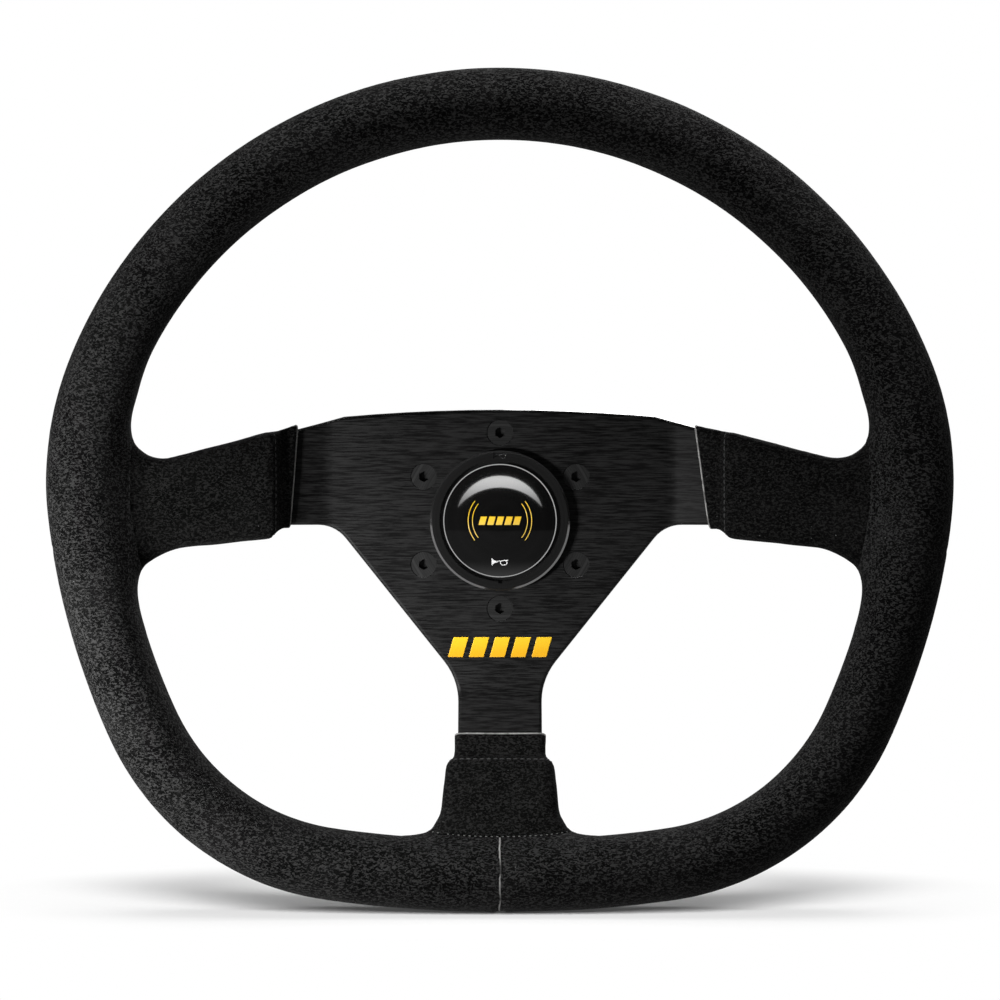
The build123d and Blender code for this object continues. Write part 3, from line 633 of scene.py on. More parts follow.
# %% Sculpt
def soft_noise(points, size, seed):
    """Smooth noise between about -1 and 1 at each point, with blobs of a size in metres."""
    shift = Vector((seed * 7.3, seed * 3.1, seed * 5.7))
    return np.array([noise.noise(Vector(point) * (1.0 / size) + shift) for point in points])


def dent(distance, width):
    """Groove profile, 1 at its bottom, at a distance from its middle."""
    return np.exp(-(distance / width) ** 2)


on_rim = to_seam > 0
on_grip = on_rim & (near_web < 0.02)
lift = 0.16 * MM * soft_noise(points, 26 * MM, 1)
on_sleeve = ease(-to_seam, -6 * MM, 8 * MM)
lift += on_sleeve * 0.42 * MM * soft_noise(points, 15 * MM, 2)
seam_depth = np.where(on_lower, 0.50, 0.18) * MM * (near_web > 0.02)
lift -= seam_depth * dent(to_seam, 1.6 * MM)
lift += 0.45 * seam_depth * dent(np.abs(to_seam) - 3.4 * MM, 1.8 * MM)
lift -= 0.28 * MM * dent(hem_distance - hem_stitch_gap, 1.3 * MM) * ~on_rim
at_joint = on_rim & on_lower
lift -= 0.50 * MM * dent(points[:, 0], 1.4 * MM) * at_joint
lift += 0.15 * MM * dent(np.abs(points[:, 0]) - 3.2 * MM, 1.6 * MM) * at_joint
lift -= 0.60 * MM * dent(to_back_seam, 1.5 * MM) * on_grip
pinch = 0.5 + 0.5 * np.sin(soft_noise(points, 3.1 * MM, 3) * 5)
lift += 0.16 * MM * pinch * dent(np.abs(to_back_seam) - 3.0 * MM, 2.0 * MM) * on_grip
points = points + skin_normals(points) * lift[:, None]
print("sculpted by up to", round(float(np.abs(lift).max() * 1000), 2), "mm")

# %% Keep the suede off the foam
foams = ["rim_foam", "left_arm_padding", "right_arm_padding", "lower_arm_padding"]
foam_margin = 0.3 * MM
foam_search = 3 * MM
pushed = 0
for name in foams:
    foam = nodes[name].data
    foam_faces = [tuple(face.vertices) for face in foam.polygons]
    foam_tree = BVHTree.FromPolygons([vertex.co for vertex in foam.vertices], foam_faces)
    for index, point in enumerate(points):
        near, normal, _, _ = foam_tree.find_nearest(Vector(point), foam_search)
        if near is not None and (Vector(point) - near).dot(normal) < foam_margin:
            points[index] = near + normal * foam_margin
            pushed += 1
print("pushed", pushed, "vertices off the foam")

# %% Slanted hems
right_slant, right_shift = 5.9 * MM, -1.5 * MM
left_slant, left_shift = 3.1 * MM, 1.5 * MM
hem_top, hem_height = 37 * MM, 40 * MM


def slant_hems(points):
    """Slants the side hems and fades the slant out before the first stitches."""
    share = (hem_top - points[:, 2]) / hem_height
    right = points[:, 0] > 0
    shift = np.where(right, right_slant * share + right_shift, left_slant * share + left_shift)
    shift *= (1 - ease(side_hem_distance, 0.5 * MM, 9.5 * MM)) * ~on_lower * ~on_rim
    moved = points.copy()
    moved[:, 0] += np.sign(points[:, 0]) * shift * math.cos(side_slope)
    moved[:, 1] -= shift * math.sin(side_slope)
    return moved


print("side hems slanted by", round(right_slant / MM, 1), "and", round(left_slant / MM, 1), "mm")

# %% [markdown]
# ## Finishes: suede
#
# Suede is the napped flesh side of leather: short fibres that lie in small wavy tufts, darker where they
# are brushed down and lighter at a raw cut edge. One node group makes the nap's colour and height, and the
# rim and the sleeves use it with their own sizes. The soft edge glow of the fibres is the shader's sheen.

# %% Nap node group
nap_inputs = {"Place": "Vector", "Tuft size": "Float", "Patch size": "Float",
              "Dark": "Color", "Light": "Color", "Specks": "Float"}
nap, given, results = group("nap", "ShaderNodeTree", nap_inputs, {"Color": "Color", "Height": "Float"})
tuft_scale = 1.0 / given["Tuft size"]
comb = {0: given["Place"], 1: (0.65, 1.0, 1.15)}
combed = output(nap, "ShaderNodeVectorMath", comb, operation="MULTIPLY")
tufts = cloudy(combed, tuft_scale, Roughness=0.5, Distortion=0.9)
patches = cloudy(given["Place"], 1.0 / given["Patch size"], Roughness=0.5)
tone = remap(tufts, 0.46, 0.61) * 0.90 + remap(patches, 0.38, 0.64) * 0.10
cells = put(nap, "ShaderNodeTexVoronoi", {"Vector": given["Place"], "Scale": tuft_scale * 0.42}).outputs
spot = remap(Value(cells["Distance"]), 0.16, 0.04) * remap(Value(cells["Color"]), 0.80, 0.95)
brushed = blend(tone, given["Dark"], given["Light"])
give(results["Color"], blend(spot * given["Specks"], brushed, grey(0.24)))
give(results["Height"], tufts)


# %% Suede materials
suede_shader = {"Roughness": 0.95, "Specular IOR Level": 0.05, "Sheen Weight": 0.02, "Sheen Roughness": 0.45,
                "Sheen Tint": grey(0.55)}
cut_edge = grey(0.30, (1.0, 0.99, 0.97))
nap_depth = 0.6 * MM

suede, shader, place = new_finish("black_suede", suede_shader)
rim_nap = (place, 0.85 * MM, 17 * MM, grey(0.0008), grey(0.029, (1.0, 0.995, 0.985)), 0.5)
colour, height = use_group(nap, nap_inputs, rim_nap)
across, _, up = split(place)
wander = cloudy(place, 110.0, 3.0)
sideways = abs(across + remap(wander, 0.3, 0.7, -0.3 * MM, 0.3 * MM))
seam_line = remap(sideways, 0.45 * MM, 0.12 * MM) * remap(up, -116 * MM, -119 * MM)
frayed = seam_line * remap(wander, 0.40, 0.60, 0.12, 1.0)
wear(shader, blend(frayed, colour, cut_edge), None, height, nap_depth)

sleeve_suede, shader, place = new_finish("sleeve_suede", suede_shader)
sleeve_nap = (place, 0.75 * MM, 12 * MM, grey(0.0004), grey(0.014, (1.0, 1.0, 0.97)), 0.7)
colour, height = use_group(nap, nap_inputs, sleeve_nap)
from_hem = output(place.tree, "ShaderNodeAttribute", at="Fac", attribute_name="hem_distance")
edge = remap(from_hem, 0.7 * MM, 0.3 * MM) * remap(cloudy(place, 240.0), 0.30, 0.50, 0.45, 1.0)
wear(shader, blend(edge, colour, cut_edge), None, height, nap_depth)
print("suede materials made")


# %% [markdown]
# ## Suede panels
#
# The skin is cut along the seams, and each panel becomes a sheet with a real thickness, open where the
# next one is sewn to it. The vertices on a cut are moved onto the seam line, so that it runs cleanly.

# %% Cut the panels
suede_thickness = 1.2 * MM


def shared(some_faces, other_faces):
    """True for each vertex that lies between two sets of faces."""
    sides = np.zeros(len(points), int)
    sides[faces_of_skin[some_faces].ravel()] |= 1
    sides[faces_of_skin[other_faces].ravel()] |= 2
    return sides == 3


def panel(name, keep, finish, replaced):
    """Suede panel from the skin's faces that are kept, with its thickness inwards."""
    used, corners = np.unique(faces_of_skin[keep], return_inverse=True)
    mesh = new_mesh(name, panel_points[used], corners.reshape(-1, 4), smooth=True)
    mesh.materials.append(finish)
    attribute = mesh.attributes.new("hem_distance", "FLOAT", "POINT")
    attribute.data.foreach_set("value", hem_distance[used])
    piece = add_piece(name, mesh, "wheel")
    thick = piece.modifiers.new("thickness", "SOLIDIFY")
    thick.thickness = suede_thickness
    thick.offset = -1.0
    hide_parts(replaced)


rim_faces = to_seam[faces_of_skin].mean(axis=1) > 0
past_hem = hem_distance[faces_of_skin].mean(axis=1) > 0
middle = points[faces_of_skin].mean(axis=1)
on_cut = shared(rim_faces, ~rim_faces)
panel_points = points.copy()
panel_points[on_cut, 0] -= away[on_cut, 0] * to_seam[on_cut]
panel_points[on_cut, 2] -= away[on_cut, 1] * to_seam[on_cut]
on_hem = shared(~rim_faces & past_hem, ~rim_faces & ~past_hem)
slope_here = np.where(on_lower, lower_slope, side_slope)
pull = hem_distance / np.cos(slope_here)
panel_points[on_hem, 1] += (pull * np.sin(slope_here))[on_hem]
side_cut, lower_cut = on_hem & ~on_lower, on_hem & on_lower
panel_points[side_cut, 0] -= (np.sign(points[:, 0]) * pull * np.cos(side_slope))[side_cut]
panel_points[lower_cut, 2] += (pull * np.cos(lower_slope))[lower_cut]
hem_distance[on_hem] = 0.0
panel_points = slant_hems(panel_points)
panel("rim_suede", rim_faces, suede, "rim_cover")
low_faces = middle[:, 2] < lower_top
for name, chosen, replaced in (("right_sleeve", ~low_faces & (middle[:, 0] > 0), "right_spoke_cover"),
                               ("left_sleeve", ~low_faces & (middle[:, 0] < 0), "left_spoke_cover"),
                               ("lower_sleeve", low_faces, "lower_spoke_cover")):
    panel(name, ~rim_faces & past_hem & chosen, sleeve_suede, replaced)

# %% [markdown]
# ## Finishes: metals and plastics
#
# The plate is brushed across before it is anodised black, and turned pieces carry fine rings round their
# axis. Both are the same effect, a noise that is stretched along the tool's path, so one node group makes
# it. Each metal mixes it into its colour, its roughness and a very shallow height.

# %% Grain node group
grain_inputs = {"Place": "Vector", "Turned": "Float", "Line width": "Float", "Line length": "Float"}
grain_outputs = {"Streaks": "Float", "Cloud": "Float"}
grain, given, results = group("tool_grain", "ShaderNodeTree", grain_inputs, grain_outputs)
x, y, z = split(given["Place"])
radius = (x ** 2.0 + z ** 2.0).root()
fine, coarse = 1.0 / given["Line width"], 1.0 / given["Line length"]
straight = combine(grain, x * coarse, y * coarse, z * fine)
turned = combine(grain, radius * fine, y * fine)
route = output(grain, "ShaderNodeMix", {0: given["Turned"], 4: straight, 5: turned}, at=1, data_type="VECTOR")
give(results["Streaks"], cloudy(route, 1.0, 4.0, Roughness=0.68))
give(results["Cloud"], cloudy(given["Place"], 45.0, 3.0))


# %% Metal and plastic materials
def grained(name, wearers, values, dark, light, rough, turned=0.0, width=0.4 * MM, length=30 * MM,
            depth=0.01 * MM, contrast=1.0):
    """Metal or plastic whose colour, roughness and height follow the tool's grain. Goes on CAD nodes."""
    material, shader, place = new_finish(name, values)
    streaks, cloud = use_group(grain, grain_inputs, (place, turned, width, length))
    narrow = 0.2 / contrast
    amount = remap(streaks, 0.5 - narrow, 0.5 + narrow) * 0.8 + remap(cloud, 0.3, 0.7) * 0.2
    wear(shader, blend(amount, dark, light), remap(streaks, 0.25, 0.75, *rough), streaks, depth)
    for wearer in wearers:
        for material_slot in nodes[wearer].material_slots:
            material_slot.material = material
    return material


def moulded(name, wearers, shine, dark, light, rough, size, depth, sheen=0.0):
    """Plastic, foam or thread with an even fine texture."""
    values = {"Specular IOR Level": shine, "Sheen Weight": sheen}
    return grained(name, wearers, values, grey(dark), grey(light), rough, 0.0, size, size, depth)


def turned_metal(name, wearers, dark, light, rough, width, depth, metallic=1.0):
    """Metal with fine rings round the steering axis."""
    return grained(name, wearers, {"Metallic": metallic}, dark, light, rough, 1.0, width, depth=depth)


plate_shader = {"Metallic": 0.3, "Specular IOR Level": 0.12, "Anisotropic": 0.3}
plate_black = grained("black_brushed_plate", ["spoke_plate"], plate_shader, grey(0.0015), grey(0.017),
                      (0.42, 0.60), 0.0, 0.5 * MM, 9 * MM, 0.02 * MM, 2.0)
bezel_shader = {"Metallic": 0.0, "Specular IOR Level": 0.04}
bezel_black = grained("satin_bezel", ["horn_bezel"], bezel_shader, grey(0.006), grey(0.009),
                      (0.50, 0.58), 1.0, 0.3 * MM, depth=0.003 * MM)
button_shader = {"Coat Weight": 1.0, "Coat Roughness": 0.03}
gloss_black = grained("polished_button", ["horn_button"], button_shader, grey(0.0035), grey(0.0055),
                      (0.05, 0.08), 1.0, 3 * MM, depth=0.0005 * MM)
grained("contact_brass", ["horn_moving_contact", "horn_fixed_contact", "horn_terminals"], {"Metallic": 1.0},
        grey(0.60, (1.0, 0.76, 0.36)), grey(0.78, (1.0, 0.80, 0.42)), (0.2, 0.32), 0.0, 0.2 * MM, 8 * MM,
        0.003 * MM)
grained("hoop_alloy", ["rim_hoop"], {"Metallic": 1.0}, grey(0.45), grey(0.6), (0.35, 0.5))
moulded("moulded_housing", ["horn_housing"], 0.25, 0.006, 0.010, (0.5, 0.62), 0.3 * MM, 0.01 * MM)
moulded("grip_foam", foams, 0.2, 0.012, 0.022, (0.8, 0.95), 1.2 * MM, 0.1 * MM)
turned_metal("black_oxide", ["wheel_screws"], grey(0.016), grey(0.035), (0.38, 0.5), 0.5 * MM,
             0.004 * MM, 0.6)
turned_metal("black_turned_alloy", ["coupler_body"], grey(0.022), grey(0.05), (0.3, 0.42), 0.25 * MM,
             0.008 * MM, 0.75)
turned_metal("clear_turned_alloy", ["release_collar"], grey(0.50), grey(0.72, (1.0, 1.0, 1.02)), (0.24, 0.36),
             0.2 * MM, 0.006 * MM)
steel_nodes = ["spline_insert", "insert_pins", "spring_seat"] + [f"lock_pin_{i}" for i in range(1, 5)]
turned_metal("ground_steel", steel_nodes, grey(0.34), grey(0.52), (0.25, 0.4), 0.15 * MM, 0.003 * MM)
wire_nodes = ["collar_spring", "horn_spring", "snap_ring", "horn_clip"]
wire_steel = turned_metal("spring_steel", wire_nodes, grey(0.25), grey(0.42), (0.28, 0.42), 0.3 * MM,
                          0.003 * MM)
turned_metal("turned_bronze", ["pilot_bush"], grey(0.42, (1.0, 0.66, 0.32)), grey(0.62, (1.0, 0.70, 0.36)),
             (0.28, 0.4), 0.2 * MM, 0.004 * MM)
turned_metal("bright_ring", ["button_trim_ring"], grey(0.62), grey(0.78), (0.10, 0.2), 0.2 * MM, 0.001 * MM)
print("metals and plastics made:", len(bpy.data.materials), "materials so far")


# %% Gloss on edges
def gloss_edges(material, low, high, coat_ior, upward):
    """Gives a material a hard clear coat where it turns away from the driver, as at an edge.

    With an upward of 1, only the edges that face up have the coat."""
    shader = material.node_tree.nodes["Principled BSDF"]
    _, forward, up = split(output(material.node_tree, "ShaderNodeNewGeometry", at="Normal"))
    coat = remap(abs(forward), high, low) * remap(up, 0.1, 0.5, 1.0 - upward, 1.0)
    for key, value in (("Weight", coat), ("Roughness", 0.16), ("IOR", coat_ior)):
        give(shader.inputs["Coat " + key], value)


gloss_edges(plate_black, 0.70, 0.88, 1.6, 1.0)
gloss_edges(bezel_black, 0.80, 0.97, 2.2, 0.0)
print("glossy edges on", plate_black.name, "and", bezel_black.name)

# %% [markdown]
# ## Springs
#
# A coil closes up when its collar or button moves, and a CAD piece keeps its shape. Each spring here is
# a merged copy of its CAD coil, with its own mesh, which stands in for it.

# %% Make the springs
def closing_spring(spring):
    """Makes a merged copy of a CAD spring that stands in for it."""
    merged = bmesh.new()
    merged.from_mesh(nodes[spring].data)
    bmesh.ops.remove_doubles(merged, verts=merged.verts, dist=0.001 * MM)
    mesh = bpy.data.meshes.new(spring + "_coil")
    merged.to_mesh(mesh)
    merged.free()
    mesh.shade_flat()
    mesh.materials.append(wire_steel)
    piece = add_piece(spring + "_coil", mesh, "wheel")
    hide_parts(spring)
    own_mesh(piece)


closing_spring("collar_spring")
closing_spring("horn_spring")

# %% [markdown]
# ## Stitching
#
# A row of stitches is one short arc of thread, repeated at an even pitch along a path. A Geometry Nodes
# tree does that: it resamples the path, stands a stitch on every point with its middle lifted off the
# suede, and turns it by a slant. The same tree sews the straight rows and, with two slants, the crossed
# lacing on the back of the grip.

# %% Stitch tree
stitch_inputs = {"Path": "Geometry", "Pitch": "Float", "Length": "Float", "Thread radius": "Float",
                 "Rise": "Float", "Slant": "Float", "Crossed": "Bool", "Thread": "Material"}
stitching, given, results = group("stitching", "GeometryNodeTree", stitch_inputs, {"Stitches": "Geometry"})
sew = partial(output, stitching)
half, foot = given["Length"] * 0.5, given["Rise"] * -1.0
arc = sew("GeometryNodeCurveQuadraticBezier",
          {"Resolution": 5, "Start": combine(stitching, half * -1.0, 0.0, foot),
           "Middle": combine(stitching, z=given["Rise"] * 1.6), "End": combine(stitching, half, 0.0, foot)})
section = sew("GeometryNodeCurvePrimitiveCircle", {"Resolution": 6, "Radius": given["Thread radius"]})
stitch = sew("GeometryNodeCurveToMesh", {"Curve": arc, "Profile Curve": section, "Fill Caps": True})
cross = put(stitching, "GeometryNodeJoinGeometry")
turns = [combine(stitching, z=given["Slant"] * sign) for sign in (1.0, -1.0)]
legs = [sew("GeometryNodeTransform", {"Geometry": stitch, "Rotation": turn}) for turn in turns]
for leg in legs:
    give(cross.inputs[0], leg)
crossing = {"Switch": given["Crossed"], "False": legs[0], "True": Value(cross.outputs[0])}
pick = sew("GeometryNodeSwitch", crossing, input_type="GEOMETRY")
path = sew("GeometryNodeMeshToCurve", {"Mesh": given["Path"]})
even = sew("GeometryNodeResampleCurve", {"Curve": path, "Length": given["Pitch"]}, mode="LENGTH")
facing = sew("GeometryNodeInputNamedAttribute", {"Name": "off_surface"}, data_type="FLOAT_VECTOR")
axes = {"Primary Axis": facing, "Secondary Axis": sew("GeometryNodeInputTangent")}
aim = sew("FunctionNodeAxesToRotation", axes, primary_axis="Z", secondary_axis="X")
row = sew("GeometryNodeInstanceOnPoints", {"Points": even, "Instance": pick, "Rotation": aim})
real = sew("GeometryNodeRealizeInstances", {"Geometry": row})
give(results[0], sew("GeometryNodeSetMaterial", {"Geometry": real, "Material": given["Thread"]}))


def from_tree(name, tree, start, body, slot_name, **values):
    """Plain mesh piece that a geometry tree grows from a starting mesh, on a body."""
    source = add_object(name + "_start", start)
    modifier = source.modifiers.new("tree", "NODES")
    modifier.node_group = tree
    for item in tree.interface.items_tree:
        key = item.name.replace(" ", "_")
        if key in values:
            modifier[item.identifier] = values[key]
    mesh = shape_of(name, source)
    bpy.data.meshes.remove(start)
    return add_piece(name, mesh, body)


# %% Rows of stitches
def thread_finish(name, dark, light):
    """Twisted thread, a little lighter on the turns."""
    return moulded(name, [], 0.25, dark, light, (0.7, 0.85), 0.35 * MM, 0.05 * MM, sheen=0.1)


def stitch_row(name, runs, thread, **sizes):
    """Makes a piece of stitches along runs of (point, direction off the surface)."""
    path = [pair for run in runs for pair in run]
    edges, base = [], 0
    for run in runs:
        edges += [(base + i, base + i + 1) for i in range(len(run) - 1)]
        base += len(run)
    mesh = new_mesh(name + "_path", [point for point, _ in path], [], edges)
    attribute = mesh.attributes.new("off_surface", "FLOAT_VECTOR", "POINT")
    attribute.data.foreach_set("vector", np.array([off for _, off in path], float).ravel())
    from_tree(name, stitching, mesh, "wheel", "suede", Thread=thread, **sizes).data.shade_smooth()


def grip_point(distance, angle, lift):
    """Point on the grip's oval and the direction off it, at a distance along the rim and a section angle."""
    point, direction = rim_line(distance)
    across, deep = math.cos(angle), math.sin(angle)
    x, z = point + direction * (grip_half_width + lift) * across
    off = np.array([direction[0] * across / grip_half_width, -deep / grip_half_depth,
                    direction[1] * across / grip_half_width])
    return (x, rim_y - (grip_half_depth + lift) * deep, z), off / np.linalg.norm(off)


def beside_web(point):
    """True where a sleeve runs into the rim."""
    x, _, z = point
    return (abs(x) > 100 * MM and -34 * MM < z < 41 * MM) or (abs(x) < 36 * MM and z < -100 * MM)


lacing_steps = 600
lacing_sink = 0.35 * MM
shortest_run = 3
lacing, run = [], []
for step in range(lacing_steps + 1):
    point, off = grip_point(2 * half_length * step / lacing_steps, back_seam_angle, -lacing_sink)
    if beside_web(point):
        if len(run) >= shortest_run:
            lacing.append(run)
        run = []
    else:
        run.append((point, off))
lacing.append(run)
lacing_thread = thread_finish("lacing_thread", 0.016, 0.045)
stitch_row("grip_lacing", lacing, lacing_thread, Pitch=4.6 * MM, Length=6.0 * MM, Thread_radius=0.38 * MM,
           Rise=0.75 * MM, Slant=math.radians(52), Crossed=True)

# %% Points on the sewn skin
skin_tree = BVHTree.FromPolygons([tuple(p) for p in panel_points], quads)
ray_start, ray_length = 5 * MM, 40 * MM
aim_share = 0.6


def on_skin(outside, inwards):
    """Point and normal where a ray from outside meets the suede, or None where it misses."""
    place, normal, _, _ = skin_tree.ray_cast(Vector(outside), Vector(inwards), ray_length)
    if place is None:
        return None
    return (place, normal) if normal.dot(Vector(inwards)) < 0 else (place, -normal)


def hem_run(place, edges_at, hem):
    """Closed run round a sleeve, beside its hem."""
    reach = hem + hem_stitch_gap
    edges = edges_at(reach)
    centre = (edges[0] + edges[1]) / 2
    found = []
    for side, lift in ring_of(edges):
        inside = Vector(place(reach, centre + aim_share * (side - centre), 0.0))
        point = Vector(place(reach, side, lift))
        away_from = (point - inside).normalized()
        found.append(on_skin(point + away_from * ray_start, -away_from))
    run = [pair for pair in found if pair]
    return run + run[:1]


hem_runs = [hem_run(place, edges_at, hem) for place, edges_at, hem, _ in sleeves]
hem_thread = thread_finish("dark_grey_thread", 0.018, 0.06)
stitch_row("hem_stitches", hem_runs, hem_thread, Pitch=2.6 * MM, Length=1.9 * MM, Thread_radius=0.20 * MM,
           Rise=0.22 * MM)


# %% Stitches where the sleeves meet the rim
in_front = rim_y - 30 * MM
side_bow, side_bow_height = 1.2 * MM, 60 * MM


def front_run(places):
    """Run on the front of the suede, over places in x and z."""
    found = [on_skin((x, in_front, z), (0.0, 1.0, 0.0)) for x, z in places]
    return [pair for pair in found if pair]


def lower_places(steps=26):
    """Places along the seam between the rim and the lower sleeve."""
    low_centre, low_radius = chain[-1][:2]
    for step in range(steps + 1):
        x = (-28 + 56 * step / steps) * MM
        yield x, low_centre[1] - math.sqrt((low_radius + lower_seam_at(x)) ** 2 - x ** 2)


def side_places(hand, steps=14):
    """Places along the seam between the rim and a side sleeve."""
    for step in range(steps + 1):
        z = (-22 + 50 * step / steps) * MM
        yield hand * (rim_reach + side_seam - (z / side_bow_height) ** 2 * side_bow), z


stitch_row("seam_stitches", [front_run(lower_places())], thread_finish("grey_thread", 0.06, 0.20),
           Pitch=2.1 * MM, Length=0.7 * MM, Thread_radius=0.16 * MM, Rise=0.10 * MM)
stitch_row("side_seam_stitches", [front_run(side_places(hand)) for hand in (1.0, -1.0)],
           thread_finish("black_thread", 0.006, 0.02), Pitch=2.9 * MM, Length=1.3 * MM,
           Thread_radius=0.17 * MM, Rise=0.12 * MM)

# %% [markdown]
# ## Markings
#
# A wheel like this has a painted mark under the button, a mark on the button and a small horn symbol.
# Here the marks are plain stripes. One Geometry Nodes tree makes a row of slanted bars and lays them on
# the flat plate or on the button's dome, which falls away from its middle by the square of the distance.

# %% Stripe tree
stripe_inputs = {"Start": "Geometry", "Count": "Int", "Pitch": "Float", "Bar": "Vector", "Slant": "Float",
                 "Dome radius": "Float", "Place": "Vector", "Paint": "Material"}
striping, given, results = group("striping", "GeometryNodeTree", stripe_inputs, {"Stripes": "Geometry"})
lay = partial(output, striping)
x, _, z = split(lay("GeometryNodeInputPosition"))
cube = {"Size": given["Bar"], "Vertices X": 5, "Vertices Y": 2, "Vertices Z": 3}
bar = lay("GeometryNodeSetPosition", {"Geometry": lay("GeometryNodeMeshCube", cube),
                                      "Offset": combine(striping, z * given["Slant"])})
first_x = (given["Count"] - 1.0) * given["Pitch"] * -0.5
row = lay("GeometryNodeMeshLine", {"Count": given["Count"], "Start Location": combine(striping, first_x),
                                   "Offset": combine(striping, given["Pitch"])})
bars = lay("GeometryNodeInstanceOnPoints", {"Points": row, "Instance": bar})
fall = (x ** 2.0 + z ** 2.0) / (given["Dome radius"] * 2.0)
domed = lay("GeometryNodeSetPosition", {"Geometry": lay("GeometryNodeRealizeInstances", {"Geometry": bars}),
                                        "Offset": combine(striping, y=fall)})
moved = lay("GeometryNodeTransform", {"Geometry": domed, "Translation": given["Place"]})
give(results[0], lay("GeometryNodeSetMaterial", {"Geometry": moved, "Material": given["Paint"]}))

# %% Stripes on the plate and on the button
button_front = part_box("horn_button")[0].y
button_radius = 22.1 * MM
dome_rise = 2.5 * MM
dome_radius = (button_radius ** 2 + dome_rise ** 2) / (2 * dome_rise)
flat_radius = 1000.0
stripe_count, stripe_slant = 5, 0.28
mark_z = -50.3 * MM
mark_half = 4 * MM


def paint(name, top, bottom, low, high):
    """Glossy paint whose colour runs from a bottom to a top height, with a fine speckle."""
    material, shader, place = new_finish(name, {"Coat Weight": 0.6, "Coat Roughness": 0.08})
    colour = blend(remap(split(place)[2], low, high), bottom, top)
    speck = cloudy(place, 2500.0)
    faded = blend(remap(speck, 0.35, 0.75, 0.0, 0.18), colour, grey(0.25, (1.0, 0.7, 0.2)))
    wear(shader, faded, remap(speck, 0.3, 0.7, 0.22, 0.36), speck, 0.004 * MM)
    return material


def stripes(name, body, slot_name, rounding, **values):
    """Makes slanted stripes with rounded edges on a body."""
    piece = from_tree(name, striping, bpy.data.meshes.new("start"), body, slot_name, Count=stripe_count,
                      Slant=stripe_slant, **values)
    bevel = piece.modifiers.new("rounding", "BEVEL")
    bevel.width = rounding
    bevel.segments = 2


yellow = grey(0.88, (1.0, 0.62, 0.02))
orange = grey(0.80, (1.0, 0.50, 0.01))
pale_yellow = grey(0.80, (1.0, 0.66, 0.10))
plate_paint = paint("yellow_plate_paint", yellow, orange, mark_z - mark_half, mark_z + mark_half)
button_paint = paint("yellow_button_paint", yellow, pale_yellow, -2 * MM, 2 * MM)
stripes("plate_stripes", "wheel", "plate_black", 0.2 * MM, Pitch=8.3 * MM, Bar=(6.0 * MM, 0.5 * MM, 8.0 * MM),
        Dome_radius=flat_radius, Place=(0.0, plate_front, mark_z), Paint=plate_paint)
stripes("button_stripes", "button", "button_gloss", 0.06 * MM, Pitch=3.4 * MM,
        Bar=(2.5 * MM, 0.2 * MM, 3.3 * MM), Dome_radius=dome_radius, Place=(0.0, button_front, 0.0),
        Paint=button_paint)


# %% Thin lines on the button
def dome_point(x, z, lift):
    """Point on the button's dome."""
    return (x, button_front + (x ** 2 + z ** 2) / (2 * dome_radius) - lift, z)


def face_point(x, z, lift):
    """Point on the flat face of the bezel."""
    return (x, bezel_front - lift, z)


def inlaid_lines(name, paths, thickness, surface, finish, body):
    """Makes round lines, a little over half sunk in a surface, along paths of (x, z) points."""
    curve = bpy.data.curves.new(name, "CURVE")
    curve.dimensions = "3D"
    curve.bevel_depth = thickness / 2
    curve.bevel_resolution = 1
    curve.use_fill_caps = True
    for path, closed in paths:
        spline = curve.splines.new("POLY")
        spline.points.add(len(path) - 1)
        for point, (x, z) in zip(spline.points, path):
            point.co = (*surface(x, z, -thickness / 5), 1.0)
        spline.use_cyclic_u = closed
    mesh = shape_of(name, add_object(name + "_curve", curve))
    mesh.materials.clear()
    mesh.materials.append(finish)
    add_piece(name, mesh, body)


def arc_path(radius, middle, half_turn=38, steps=24):
    """Points of an arc about the button's middle, on both sides of an angle in degrees."""
    turns = [math.radians(middle - half_turn + 2 * half_turn * i / steps) for i in range(steps + 1)]
    return [(radius * math.cos(turn), radius * math.sin(turn)) for turn in turns]


brackets = [(arc_path(radius, side), False) for radius in (10.9 * MM, 12.6 * MM) for side in (0, 180)]
inlaid_lines("button_arcs", brackets, 0.34 * MM, dome_point, button_paint, "button")


# %% Horn symbols
symbol_units = 6.8


def horn_paths(x, z, width):
    """Lines of a plain horn symbol, a bell, a loop and a tube, drawn in units and made as wide as asked."""
    unit = width / symbol_units

    def at(points):
        return [(x + px * unit, z + pz * unit) for px, pz in points]

    loop = [(1.55 + 1.35 * math.cos(turn), -0.25 + 0.95 * math.sin(turn))
            for turn in (2 * math.pi * i / 28 for i in range(28))]
    bell = [[(-3.2 + 0.4 * i, 0.15 + 1.5 * 0.68 ** i), (-3.2 + 0.4 * i, 0.1 - 1.5 * 0.68 ** i)]
            for i in range(6)]
    tube = [(-3.2, 0.2), (0.2, 0.45), (1.6, 0.7), (3.3, 0.75)]
    return [(at(stroke), False) for stroke in bell] + [(at(loop), True), (at(tube), False)]


white_print, shader, place = new_finish("white_print", {"Roughness": 0.4})
dust = cloudy(place, 3000.0)
give(shader.inputs["Base Color"], blend(remap(dust, 0.3, 0.7), grey(0.62), grey(0.8)))
give(shader.inputs["Roughness"], remap(dust, 0.3, 0.7, 0.35, 0.5))
low_symbol = horn_paths(0.0, -16.4 * MM, 6.6 * MM)
top_symbol = horn_paths(0.0, 25.7 * MM, 5.6 * MM)
inlaid_lines("horn_symbol", low_symbol, 0.42 * MM, dome_point, white_print, "button")
inlaid_lines("bezel_symbol", top_symbol, 0.36 * MM, face_point, gloss_black, "wheel")

